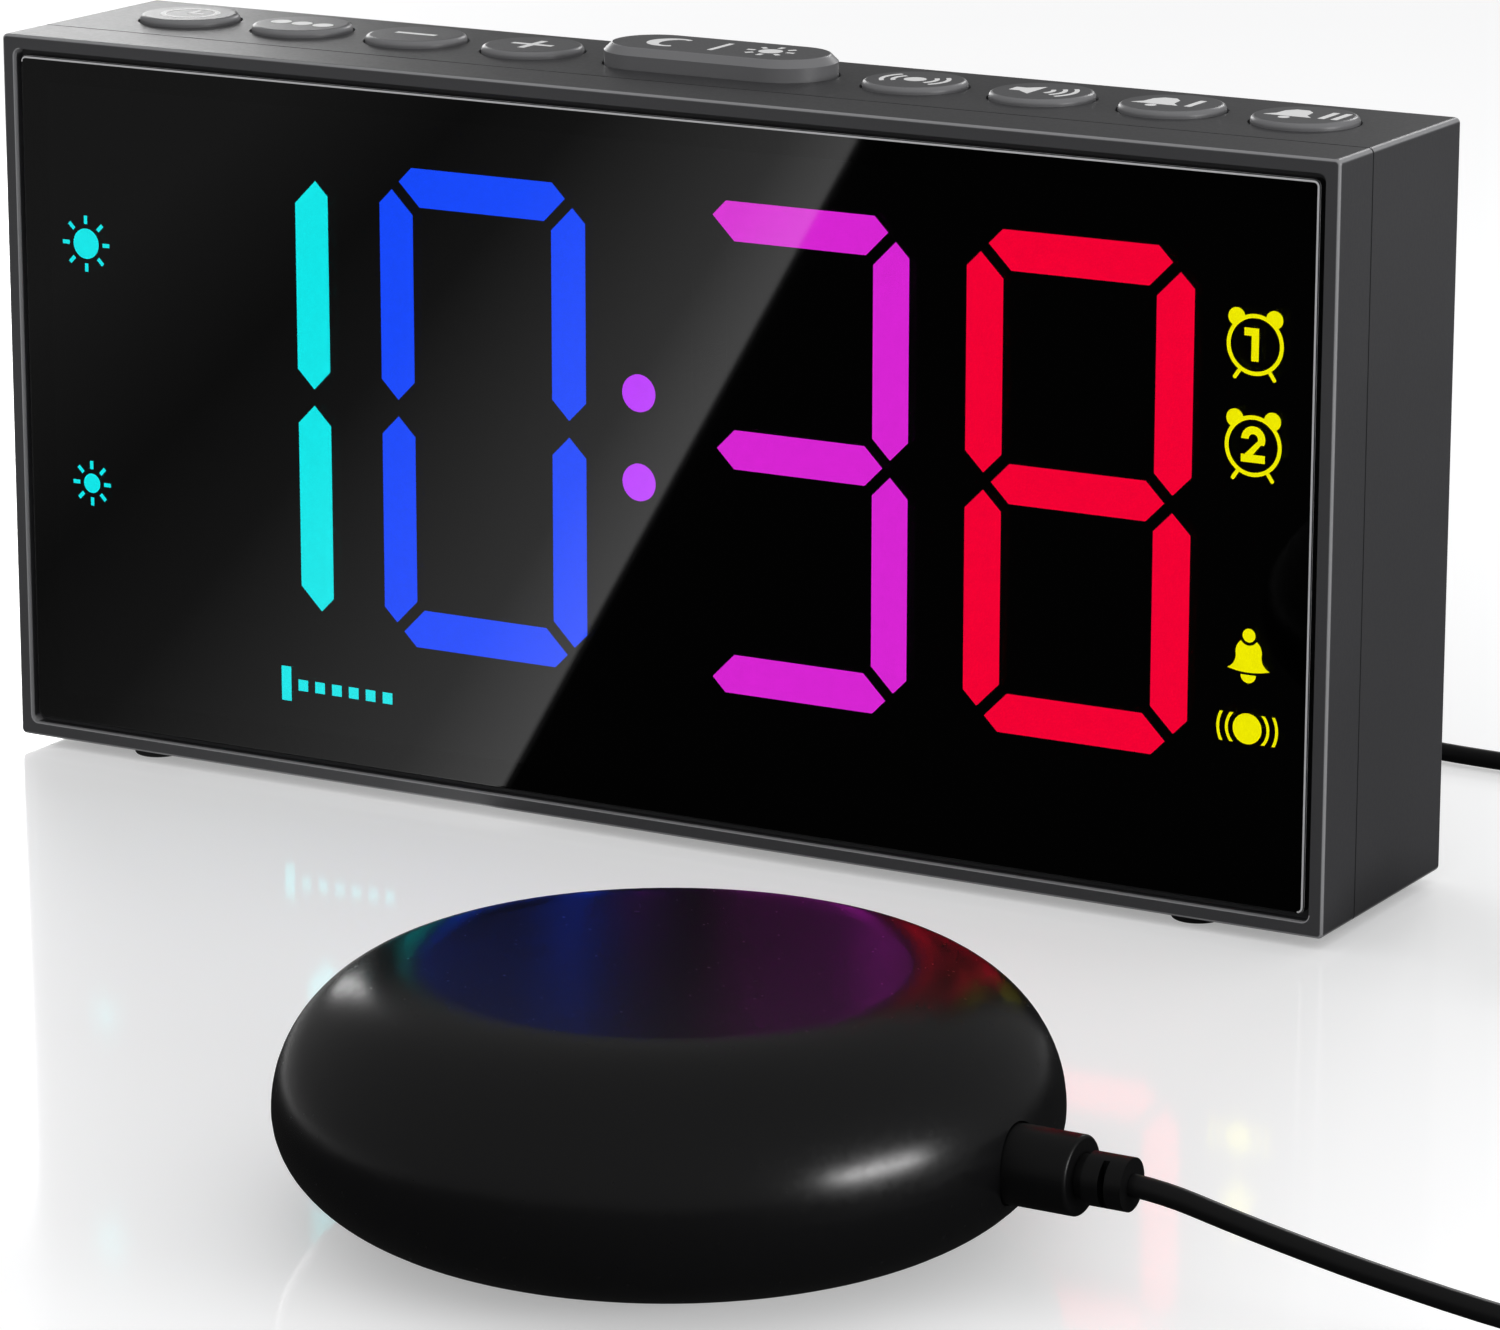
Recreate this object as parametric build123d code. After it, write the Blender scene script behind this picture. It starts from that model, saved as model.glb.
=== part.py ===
from build123d import *

import math
import os

# Bed shaker alarm clock: a mains-powered desk clock with a seven-segment display, nine keys on
# its top, and a wired pebble-shaped shaker that goes under a pillow.
# Millimetres, +Z up, +X to the right of the display, +Y from the display to the back.
# Sizes are worked out about the middle of the clock's front face, at the height of the table,
# and every piece is then shifted so that the clock and the shaker together stand about the origin.

# Case
case_width = 190.5
case_height = 94.0
case_depth = 34.5
case_corner = 0.7
case_wall = 2.0
front_depth = 9.0
front_edge = 0.45
rear_edge = 0.45
seam_width = 0.3
seam_depth = 0.6
foot_height = 1.2
foot_dia = 6.4
foot_recess = 0.6
foot_x = 76.4
foot_inset = 5.0
foot_clearance = 0.05

# Lens and the frame that holds it
bezel_face = 1.8
lens_gap = 0.8
recess_corner = 1.0
lens_recess = 0.3
lens_thickness = 1.6
lens_corner = 0.9
lens_edge = 0.4
lens_ledge = 3.5
rim_height = 1.2
rim_width = 1.2
rim_clearance = 0.15
rim_side_span = 40.0
rim_top_span = 150.0

# Display: housing, lit segments and marks
housing_clearance = 0.15
film_gap = 0.1
digit_margin = 19.0
digit_space = 7.8
colon_space = 15.3
digit_height = 62.2
digit_bar = 5.0
digit_corner = 4.8
digit_gap = 1.45
digit_rise = 3.45
colon_pitch = 11.35
colon_dot = 4.85
insert_depth = 1.5
insert_clearance = 0.05
well_ledge = 0.4
mark_depth = 0.6
mark_line = 0.75
ring_line = 0.5
figure_line = 0.95
right_mark_inset = 11.05
alarm_ring = 7.4
alarm_1_rise = 20.4
alarm_2_rise = 8.25
bell_rise = -19.3
bell_width = 5.6
vibration_rise = -26.2
vibration_disc = 3.8
left_mark_inset = 11.65
morning_rise = 16.7
morning_disc = 4.0
summer_rise = -15.25
summer_disc = 2.6
ray_count = 8
ray_length = 1.1
ray_gap = 0.6
weekday_x = -45.6
weekday_rise = -38.45
weekday_count = 7
weekday_pitch = 2.6
weekday_dot = 1.5
today_height = 4.6

# Display board
board_thick = 1.6
display_board_gap = 0.5
led_width = 2.6
led_height = 1.2
board_screw_dia = 1.9
board_screw_head = 3.8
board_screw_head_height = 1.2
board_screw_grip = 5.0
screw_clearance = 0.05
hole_clearance = 0.2
display_screw_x = 66.0
display_screw_inset = 1.4

# Keys
button_dia = 13.2
button_gap = 0.3
button_rise = 0.9
button_round = 0.7
first_button = 27.7
last_button_inset = 14.66
button_travel = 0.8
snooze_length = 32.0
snooze_rise = 2.75
snooze_bevel = 1.0
snooze_round = 0.5
snooze_stem = 8.0
flange_step = 0.55
flange_thick = 1.1
flange_clearance = 0.1
stem_dia = 4.6
stem_length = 1.5
dome_dia = 9.0
dome_top_dia = 5.4
dome_wall = 0.7
dome_squashed = 1.6
dome_clearance = 0.05
mat_thick = 1.0
mat_gap = 0.3
keypad_board_gap = 0.95
keypad_post_dia = 4.4
keypad_post_inset = 2.5

# Case screws
boss_dia = 5.0
boss_inset = 4.25
boss_low = 12.8
boss_high = 78.8
case_screw_dia = 2.2
case_screw_head = 4.0
case_screw_head_height = 1.8
case_screw_grip = 6.0

# Main board, jacks and speaker
main_board_left = -4.0
main_board_right = 76.0
main_board_low = 10.0
main_board_high = 62.0
main_board_gap = 12.5
main_screw_inset = 4.0
jack_width = 9.0
jack_height = 9.0
jack_collar = 8.0
jack_bore = 5.7
jack_pin = 2.0
jack_depth = 10.5
pin_setback = 1.0
jack_rise = 20.0
shaker_outlet_x = 30.0
power_inlet_x = 56.0
speaker_x = -64.0
speaker_rise = 50.0
speaker_dia = 36.0
speaker_flange = 2.0
speaker_basket = 6.0
magnet_dia = 18.0
magnet_height = 5.0
cone_dia = 30.0
cone_thick = 0.8
speaker_rib = 1.5
speaker_clearance = 0.3
slot_width = 1.6
slot_pitch = 4.0
slot_count = 7

# Battery compartment
battery_x = -24.0
battery_rise = 42.0
door_width = 25.0
door_height = 25.0
door_thick = 1.8
door_gap = 0.3
knuckle_radius = 1.6
hinge_pin_dia = 1.6
hinge_pin_length = 2.0
hinge_clearance = 0.06
pocket_depth = 8.0
pocket_wall = 1.5
hinge_rib = 3.0
cell_dia = 20.0
cell_thick = 3.2
clip_thick = 0.4
clip_arm = 5.0
cell_clearance = 0.3
notch_dia = 9.0
notch_depth = 0.7

# Shaker
shaker_x = 75.8
shaker_y = -120.0
shaker_dia = 82.8
shaker_height = 27.3
shaker_top_dia = 50.6
shaker_base_dia = 49.8
shaker_girth = 11.9
shaker_wall = 2.2
pad_height = 0.5
pad_inset = 1.4
base_thick = 2.2
base_ledge = 2.5
base_clearance = 0.15
shaker_boss_dia = 6.0
shaker_boss_inset = 3.8
shaker_boss_count = 3
shaker_screw_dia = 2.4
shaker_screw_head = 4.4
shaker_screw_head_height = 1.2
shaker_screw_grip = 7.0
motor_dia = 18.6
motor_length = 23.0
motor_back = -13.0
motor_shaft_dia = 2.0
motor_shaft_grip = 8.0
shaft_clearance = 0.03
weight_radius = 8.4
weight_thick = 8.5
weight_hub_dia = 6.0
weight_gap = 1.0
saddle_width = 4.0
saddle_rise = 6.0
motor_clearance = 0.8
motor_edge = 1.0
strap_clearance = 0.1
clamp_thick = 1.2
clamp_width = 6.0
clamp_foot = 5.0
clamp_screw_dia = 2.0
clamp_screw_head = 3.6
clamp_screw_head_height = 1.2
clamp_screw_grip = 1.6

# Lead from the shaker to the clock
plug_dia = 8.4
plug_length = 9.3
plug_edge = 0.4
plug_hole_clearance = 0.2
plug_seat_gap = 0.2
neck_dia = 4.6
neck_length = 1.1
relief_dia = 5.6
relief_length = 4.4
relief_slot = 0.7
relief_slot_depth = 1.6
barrel_dia = 5.5
barrel_bore = 2.2
barrel_length = 9.0
cord_dia = 2.4
coil_x = 145.7
coil_y = 10.0
coil_inner = 8.3
coil_pitch = 2.9
climb_step = 0.5
coil_half_turns = 7
coil_layers = 4
tie_thick = 0.8
tie_width = 7.0
tie_clearance = 0.1
gap_samples = 36

# Worked out from the sizes above
cord_radius = cord_dia / 2
button_radius = button_dia / 2
table = 0.0
case_bottom = foot_height
case_top = case_bottom + case_height
case_middle = (case_bottom + case_top) / 2
display_middle = case_middle + digit_rise
lens_back = lens_recess + lens_thickness
lens_inset = bezel_face + lens_gap
opening_inset = lens_inset + lens_ledge
housing_front = lens_back + film_gap
back_inside = case_depth - case_wall
digit_width = (case_width / 2 - digit_margin - colon_space / 2 - digit_space) / 2
inner_digit = (colon_space + digit_width) / 2
digit_pitch = digit_width + digit_space
right_mark_x = case_width / 2 - right_mark_inset
left_mark_x = left_mark_inset - case_width / 2
button_y = (front_depth + case_depth) / 2
button_pitch = (case_width / 2 - last_button_inset - first_button) / 3
button_places = [first_button + i * button_pitch for i in range(4)]
keypad_reach = button_y - front_depth - board_thick - keypad_board_gap
keypad_post_offset = keypad_reach - keypad_post_inset
mat_reach = keypad_post_offset - keypad_post_dia / 2 - mat_gap
under_top = case_top - case_wall
flange_top = under_top - flange_clearance
flange_bottom = flange_top - flange_thick
stem_bottom = flange_bottom - stem_length
dome_top = stem_bottom - dome_clearance
dome_height = button_travel + dome_squashed
mat_top = dome_top - dome_height
mat_bottom = mat_top - mat_thick
keypad_board_bottom = mat_bottom - board_thick
main_board_back = back_inside - main_board_gap
shaker_radius = shaker_dia / 2
plug_face = shaker_radius - shaker_wall - plug_seat_gap
plug_hole = plug_dia + 2 * plug_hole_clearance
shaker_reach = math.sqrt(shaker_radius ** 2 - (plug_hole / 2) ** 2)
set_left = min(-case_width / 2, shaker_x - shaker_radius)
set_right = max(case_width / 2, shaker_x + shaker_reach)
set_front = min(0.0, shaker_y - shaker_radius)
set_back = max(case_depth, shaker_y + shaker_radius)
place = Pos(-(set_left + set_right) / 2, -(set_front + set_back) / 2, 0)


def block(x, y, z):
    """A box between two values along each axis."""
    middle = Pos((x[0] + x[1]) / 2, (y[0] + y[1]) / 2, (z[0] + z[1]) / 2)
    return middle * Box(x[1] - x[0], y[1] - y[0], z[1] - z[0])


def slab(sketch, y0, y1):
    """A sketch drawn as seen from the front, given depth from y0 to y1."""
    return Pos(0, y1, 0) * Rot(90, 0, 0) * extrude(sketch, amount=y1 - y0)


def rod_y(x, z, dia, y0, y1):
    """A round rod along the depth of the clock."""
    return Pos(x, (y0 + y1) / 2, z) * Rot(90, 0, 0) * Cylinder(dia / 2, y1 - y0)


def rod_z(x, y, dia, z0, z1):
    """A round upright rod."""
    return Pos(x, y, (z0 + z1) / 2) * Cylinder(dia / 2, z1 - z0)


def rod_x(y, z, dia, x0, x1):
    """A round rod along the width of the clock."""
    return Pos((x0 + x1) / 2, y, z) * Rot(0, 90, 0) * Cylinder(dia / 2, x1 - x0)


def save(name, *solids):
    """Writes the solids of one node, shifted to the frame of the whole set."""
    pieces = []
    for solid in solids:
        pieces.extend((place * solid).solids())
    shape = pieces[0] if len(pieces) == 1 else Compound(pieces)
    export_step(shape, f"parts/{name}.step")
    low, high = shape.bounding_box().min, shape.bounding_box().max
    print(f"{name}: {len(pieces)} solids, {low.X:.2f} {low.Y:.2f} {low.Z:.2f} to "
          f"{high.X:.2f} {high.Y:.2f} {high.Z:.2f}")


def screw(dia, head, head_height, length):
    """A pan screw, its head's seat at the origin and its shank going down."""
    top = fillet((Pos(0, 0, head_height / 2) * Cylinder(head / 2, head_height))
                 .edges().group_by(Axis.Z)[-1], head_height / 3)
    drive_width = head / 6
    drive = Box(head * 0.6, drive_width, head_height) + Box(drive_width, head * 0.6, head_height)
    return top - Pos(0, 0, head_height) * drive + Pos(0, 0, -length / 2) * Cylinder(dia / 2, length)


# Front frame

def outline(inset, corner):
    """The case's outline seen from the front, drawn in by an inset."""
    return Pos(0, case_middle) * RectangleRounded(case_width - 2 * inset, case_height - 2 * inset, corner)


boss_x = case_width / 2 - boss_inset
boss_places = [(side * boss_x, case_bottom + rise) for side in (-1, 1) for rise in (boss_low, boss_high)]
display_screw_z = [case_bottom + opening_inset - display_screw_inset,
                   case_top - opening_inset + display_screw_inset]
display_screw_places = [(x, z) for x in (-display_screw_x, 0, display_screw_x) for z in display_screw_z]
feet = [(side * foot_x, y) for side in (-1, 1) for y in (foot_inset, case_depth - foot_inset)]


def foot_pockets():
    """The shallow round pockets that the feet are glued into."""
    dia = foot_dia + 2 * foot_clearance
    return [rod_z(x, y, dia, case_bottom, case_bottom + foot_recess) for x, y in feet]


def front_frame():
    ring = slab(outline(0, case_corner), 0, front_depth)
    ring = fillet(ring.faces().sort_by(Axis.Y)[0].edges(), front_edge)
    ring -= slab(outline(bezel_face, recess_corner), 0, lens_back)
    ring -= slab(outline(opening_inset, lens_corner), 0, front_depth)
    rim_x = case_width / 2 - case_wall - rim_clearance
    rim_z = case_height / 2 - case_wall - rim_clearance
    rim_y = (front_depth, front_depth + rim_height)
    for side in (-1, 1):
        across = sorted((side * rim_x, side * (rim_x - rim_width)))
        ring += block(across, rim_y, (case_middle - rim_side_span / 2, case_middle + rim_side_span / 2))
        level = sorted((case_middle + side * rim_z, case_middle + side * (rim_z - rim_width)))
        ring += block((-rim_top_span / 2, rim_top_span / 2), rim_y, level)
    cuts = foot_pockets()
    for x, z in boss_places:
        dia = case_screw_dia + 2 * screw_clearance
        cuts.append(rod_y(x, z, dia, front_depth - case_screw_grip - screw_clearance, front_depth))
    for x, z in display_screw_places:
        dia = board_screw_dia + 2 * screw_clearance
        cuts.append(rod_y(x, z, dia, front_depth - board_screw_grip - screw_clearance, front_depth))
    return ring - cuts


def display_lens():
    lens = slab(outline(lens_inset, lens_corner), lens_recess, lens_back)
    return fillet(lens.faces().sort_by(Axis.Y)[0].edges(), lens_edge)


# Display: each digit has seven bars with mitred ends

mitre = digit_gap / math.sqrt(2)


def bar_points(name):
    """A bar of a digit, from the digit's middle. Bars on the other side are mirrored."""
    half_width, half_height = digit_width / 2, digit_height / 2
    tip_far, tip_near = (digit_corner + mitre) / 2, (digit_corner - mitre) / 2
    point = digit_bar / 2
    if name in "ad":
        points = [(digit_corner, 0), (digit_width - digit_corner, 0), (digit_width - tip_far, tip_near),
                  (digit_width - digit_bar - mitre, digit_bar), (digit_bar + mitre, digit_bar),
                  (tip_far, tip_near)]
    elif name == "g":
        points = [(point + mitre, half_height), (digit_bar + mitre, half_height - point),
                  (digit_width - digit_bar - mitre, half_height - point),
                  (digit_width - point - mitre, half_height),
                  (digit_width - digit_bar - mitre, half_height + point),
                  (digit_bar + mitre, half_height + point)]
    else:
        waist = half_height - mitre - point
        points = [(0, digit_corner), (tip_near, tip_far), (digit_bar, digit_bar + mitre),
                  (digit_bar, waist), (point, half_height - mitre), (0, waist)]
    flip_x = -1 if name in "bc" else 1
    flip_z = -1 if name in "dec" else 1
    return [(flip_x * (x - half_width), flip_z * (half_height - down)) for x, down in points]


def bar(name):
    """One bar as a flat shape."""
    return make_face(Polyline(*bar_points(name), close=True))


digit_places = {"hour_tens": -inner_digit - digit_pitch, "hour_units": -inner_digit,
                "minute_tens": inner_digit, "minute_units": inner_digit + digit_pitch}
digit_lit = {"hour_tens": "bc", "hour_units": "abcdef", "minute_tens": "abcdg",
             "minute_units": "abcdefg"}
colon_places = [display_middle + side * colon_pitch / 2 for side in (1, -1)]


def digit_bars(digit, names):
    """The named bars of one digit, in their place behind the lens."""
    return [Pos(digit_places[digit], display_middle) * bar(name) for name in names]


def dots(dia):
    return [Pos(0, z) * Circle(dia / 2) for z in colon_places]


def inserts(shapes):
    """Light inserts that fill windows of these shapes, a hair smaller all round."""
    return [slab(offset(shape, -insert_clearance, kind=Kind.INTERSECTION), housing_front,
                 housing_front + insert_depth) for shape in shapes]


# Lit marks beside the digits

def alarm_clock_mark(number):
    """A small bell clock with a number on its face."""
    outer, inner = alarm_ring / 2, alarm_ring / 2 - ring_line
    face = Circle(outer)
    for side in (-1, 1):
        face += Pos(side * outer * 0.66, outer * 0.86) * Circle(outer * 0.3)
        foot = Pos(side * outer * 0.62, -outer * 0.98) * Rot(0, 0, side * 35)
        face += foot * SlotOverall(outer * 0.38, ring_line, rotation=90)
    face -= Circle(inner)
    half, tall = figure_line / 2, inner * 0.62
    if number == 1:
        figure = Rectangle(figure_line, 2 * tall)
        figure += Pos(-half, tall - half) * Rectangle(2 * figure_line, figure_line)
    else:
        bowl, rise = inner * 0.34, inner * 0.26
        stroke = Pos(0, rise) * (Circle(bowl + half) - Circle(bowl - half))
        stroke -= Pos(-bowl, rise - bowl) * Rectangle(2 * bowl + figure_line, 2 * bowl)
        stroke -= Pos(bowl * 0.6, rise - bowl * 1.6) * Rectangle(2 * bowl, 2 * bowl)
        leg = [(bowl + half, rise), (bowl - half, rise - half / 3), (-bowl - half, half - tall),
               (half - bowl, half / 2 - tall)]
        figure = stroke + make_face(Polyline(*leg, close=True))
        figure += Pos(0, half - tall) * Rectangle(2 * bowl + figure_line, figure_line)
    return [face, figure]


def bell_mark():
    """A hand bell with its knob and clapper."""
    half, shoulder, lip, top = bell_width / 2, bell_width * 0.31, bell_width * 0.07, bell_width * 0.44
    with BuildSketch() as drawing:
        with BuildLine():
            ThreePointArc((-half, lip), (0, 0), (half, lip))
            ThreePointArc((half, lip), (shoulder * 1.12, top * 0.45), (shoulder, top))
            ThreePointArc((shoulder, top), (0, top + shoulder), (-shoulder, top))
            ThreePointArc((-shoulder, top), (-shoulder * 1.12, top * 0.45), (-half, lip))
        make_face()
    knob = Pos(0, top + shoulder * 1.2)
    bell = drawing.sketch - knob * Circle(bell_width * 0.22)
    clapper = Pos(0, -bell_width * 0.05) * Circle(bell_width * 0.18)
    clapper -= Pos(0, bell_width * 0.15) * Rectangle(bell_width, bell_width * 0.4)
    return [bell, knob * Circle(bell_width * 0.15), clapper]


def vibration_mark():
    """A disc with two arcs on each side."""
    shapes = [Circle(vibration_disc / 2)]
    for reach in (0.72, 1.02):
        mid = vibration_disc * reach
        ring = Circle(mid + mark_line / 4) - Circle(mid - mark_line / 4)
        for side in (-1, 1):
            shapes.append(ring & Pos(side * mid, 0) * Rectangle(mid, vibration_disc * 0.95))
    return shapes


def sun_mark(dia):
    """A disc with short rays round it."""
    shapes = [Circle(dia / 2)]
    for i in range(ray_count):
        ray = Pos(dia / 2 + ray_gap + ray_length / 2, 0) * Rectangle(ray_length, mark_line * 0.7)
        shapes.append(Rot(0, 0, 360 / ray_count * i) * ray)
    return shapes


def weekday_row():
    """A row of day marks, the first of them tall."""
    shapes = []
    for i in range(weekday_count):
        x = (i - (weekday_count - 1) / 2) * weekday_pitch
        height = today_height if i == 0 else weekday_dot
        shapes.append(Pos(x, 0) * Rectangle(weekday_dot, height))
    return shapes


def at(x, rise, shapes):
    """Flat marks moved to their place on the display."""
    return [Pos(x, display_middle + rise) * shape for shape in shapes]


alarm_marks = at(right_mark_x, alarm_1_rise, alarm_clock_mark(1))
alarm_marks += at(right_mark_x, alarm_2_rise, alarm_clock_mark(2))
bell_marks = at(right_mark_x, bell_rise, bell_mark())
vibration_marks = at(right_mark_x, vibration_rise, vibration_mark())
status_marks = at(left_mark_x, morning_rise, sun_mark(morning_disc))
status_marks += at(left_mark_x, summer_rise, sun_mark(summer_disc))
status_marks += at(weekday_x, weekday_rise, weekday_row())


def thin_marks(shapes):
    """Marks as thin plates that fill their recesses in the housing."""
    faces = [face for shape in shapes for face in shape.faces()]
    return [slab(face, housing_front, housing_front + mark_depth) for face in faces]


def display_housing():
    """The black plate behind the lens, with a light well for each bar and dot."""
    inset = opening_inset + housing_clearance
    plate = slab(outline(inset, lens_corner), housing_front, front_depth)
    windows = dots(colon_dot)
    for digit in digit_places:
        windows += digit_bars(digit, "abcdefg")
    cuts = []
    for window in windows:
        well = offset(window, -well_ledge, kind=Kind.INTERSECTION)
        cuts.append(slab(window, housing_front, housing_front + insert_depth))
        cuts.append(slab(well, housing_front, front_depth))
    return plate - cuts - thin_marks(alarm_marks + bell_marks + vibration_marks + status_marks)


def display_board():
    half_x = boss_x - boss_dia / 2 - display_board_gap
    half_z = case_height / 2 - case_wall - rim_clearance - rim_width - display_board_gap
    board = block((-half_x, half_x), (front_depth, front_depth + board_thick),
                  (case_middle - half_z, case_middle + half_z))
    dia = board_screw_dia + 2 * hole_clearance
    return board - [rod_y(x, z, dia, front_depth, front_depth + board_thick) for x, z in display_screw_places]


def display_leds():
    """One light for each bar and dot, standing in its well."""
    lights = []
    for digit in digit_places:
        for window in digit_bars(digit, "abcdefg"):
            spot = window.center()
            lights.append(block((spot.X - led_width / 2, spot.X + led_width / 2),
                                (front_depth - led_height, front_depth),
                                (spot.Y - led_width / 2, spot.Y + led_width / 2)))
    for z in colon_places:
        lights.append(block((-led_width / 2, led_width / 2), (front_depth - led_height, front_depth),
                            (z - led_width / 2, z + led_width / 2)))
    return lights


def board_screws(places, seat):
    """Small screws that hold a board from behind, at this seat."""
    one = screw(board_screw_dia, board_screw_head, board_screw_head_height, board_thick + board_screw_grip)
    return [Pos(x, seat, z) * Rot(-90, 0, 0) * one for x, z in places]


# Keys on the top

def key_cap(sketch, rise):
    """The part of a key that stands out of the top, before its upper edge is eased."""
    return Pos(0, 0, flange_bottom) * extrude(sketch, amount=case_top + rise - flange_bottom)


def key_flange(sketch):
    """The wider foot that keeps a key from coming out of its hole."""
    flange = extrude(offset(sketch, flange_step, kind=Kind.ARC), amount=flange_thick)
    return Pos(0, 0, flange_bottom) * flange


def round_button(x):
    sketch = Circle(button_radius)
    cap = key_cap(sketch, button_rise)
    button = fillet(cap.edges().group_by(Axis.Z)[-1], button_round) + key_flange(sketch)
    button += rod_z(0, 0, stem_dia, stem_bottom, flange_bottom)
    return Pos(x, button_y, 0) * button


def snooze_bar():
    """The long key, with an upright skirt, a bevel and a flat top."""
    sketch = SlotOverall(snooze_length, button_dia)
    cap = key_cap(sketch, snooze_rise)
    cap = chamfer(cap.edges().group_by(Axis.Z)[-1], snooze_bevel)
    bar_solid = fillet(cap.edges().group_by(Axis.Z)[-1], snooze_round) + key_flange(sketch)
    for side in (-1, 1):
        bar_solid += rod_z(side * snooze_stem, 0, stem_dia, stem_bottom, flange_bottom)
    return Pos(0, button_y, 0) * bar_solid


button_names = {"button_time": -button_places[3], "button_colour": -button_places[2],
                "button_minus": -button_places[1], "button_plus": -button_places[0],
                "button_vibrate": button_places[0], "button_volume": button_places[1],
                "button_alarm_1": button_places[2], "button_alarm_2": button_places[3]}
dome_places = sorted(list(button_names.values()) + [-snooze_stem, snooze_stem])
keypad_post_x = first_button + 1.5 * button_pitch
keypad_posts = [(side * keypad_post_x, button_y + step * keypad_post_offset)
                for side in (-1, 1) for step in (-1, 1)]
keypad_half = button_places[3] + button_radius


def keypad_mat():
    """The rubber mat: a hollow dome under each key springs it back."""
    mat = block((-keypad_half, keypad_half), (button_y - mat_reach, button_y + mat_reach),
                (mat_bottom, mat_top))
    skirt, crown = dome_dia / 2, dome_top_dia / 2
    dome = Pos(0, 0, dome_height / 2) * Cone(skirt, crown, dome_height)
    hollow_height = dome_height - 2 * dome_wall + mat_thick
    hollow = Cone(skirt - dome_wall, crown - dome_wall, hollow_height)
    hollow = Pos(0, 0, hollow_height / 2 - mat_thick) * hollow
    places = [Pos(x, button_y, mat_top) for x in dome_places]
    return mat + [spot * dome for spot in places] - [spot * hollow for spot in places]


def keypad_board():
    board = block((-keypad_half, keypad_half), (button_y - keypad_reach, button_y + keypad_reach),
                  (keypad_board_bottom, mat_bottom))
    for x, y in keypad_posts:
        board -= rod_z(x, y, board_screw_dia + 2 * hole_clearance, keypad_board_bottom, mat_bottom)
    return board


def keypad_screws():
    grip = board_thick + board_screw_grip
    one = screw(board_screw_dia, board_screw_head, board_screw_head_height, grip)
    return [Pos(x, y, keypad_board_bottom) * Rot(180, 0, 0) * one for x, y in keypad_posts]


# Rear case with its bosses, pockets and openings

hinge_y = case_depth - knuckle_radius
hinge_z = case_bottom + battery_rise - door_height / 2 + knuckle_radius
door_top = hinge_z - knuckle_radius + door_height
pocket_half = door_width / 2 + door_gap
pocket_floor = case_depth - pocket_depth
main_screw_places = [(x, z) for x in (main_board_left + main_screw_inset, main_board_right - main_screw_inset)
                     for z in (case_bottom + main_board_low + main_screw_inset,
                               case_bottom + main_board_high - main_screw_inset)]
jack_z = case_bottom + jack_rise
speaker_z = case_bottom + speaker_rise


def speaker_slots():
    """Upright slots over the speaker, shorter towards the sides."""
    cuts = []
    for i in range(slot_count):
        x = (i - (slot_count - 1) / 2) * slot_pitch
        length = 2 * math.sqrt((cone_dia / 2) ** 2 - x ** 2)
        slot = Pos(speaker_x + x, speaker_z) * SlotOverall(length, slot_width, rotation=90)
        cuts.append(slab(slot, back_inside, case_depth))
    return cuts


def battery_pocket(shell):
    """The walled pocket behind the battery door, with bores for the hinge pins."""
    low, high = hinge_z - knuckle_radius - door_gap, door_top + door_gap
    x = (battery_x - pocket_half, battery_x + pocket_half)
    shell += block((x[0] - hinge_rib, x[1] + hinge_rib), (pocket_floor - pocket_wall, back_inside),
                   (low - pocket_wall, high + pocket_wall))
    shell -= block(x, (pocket_floor, case_depth), (low, high))
    bore = hinge_pin_dia + 2 * hinge_clearance
    pin_end = door_width / 2 + hinge_pin_length + hinge_clearance
    shell -= rod_x(hinge_y, hinge_z, bore, battery_x - pin_end, battery_x + pin_end)
    return shell


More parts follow.
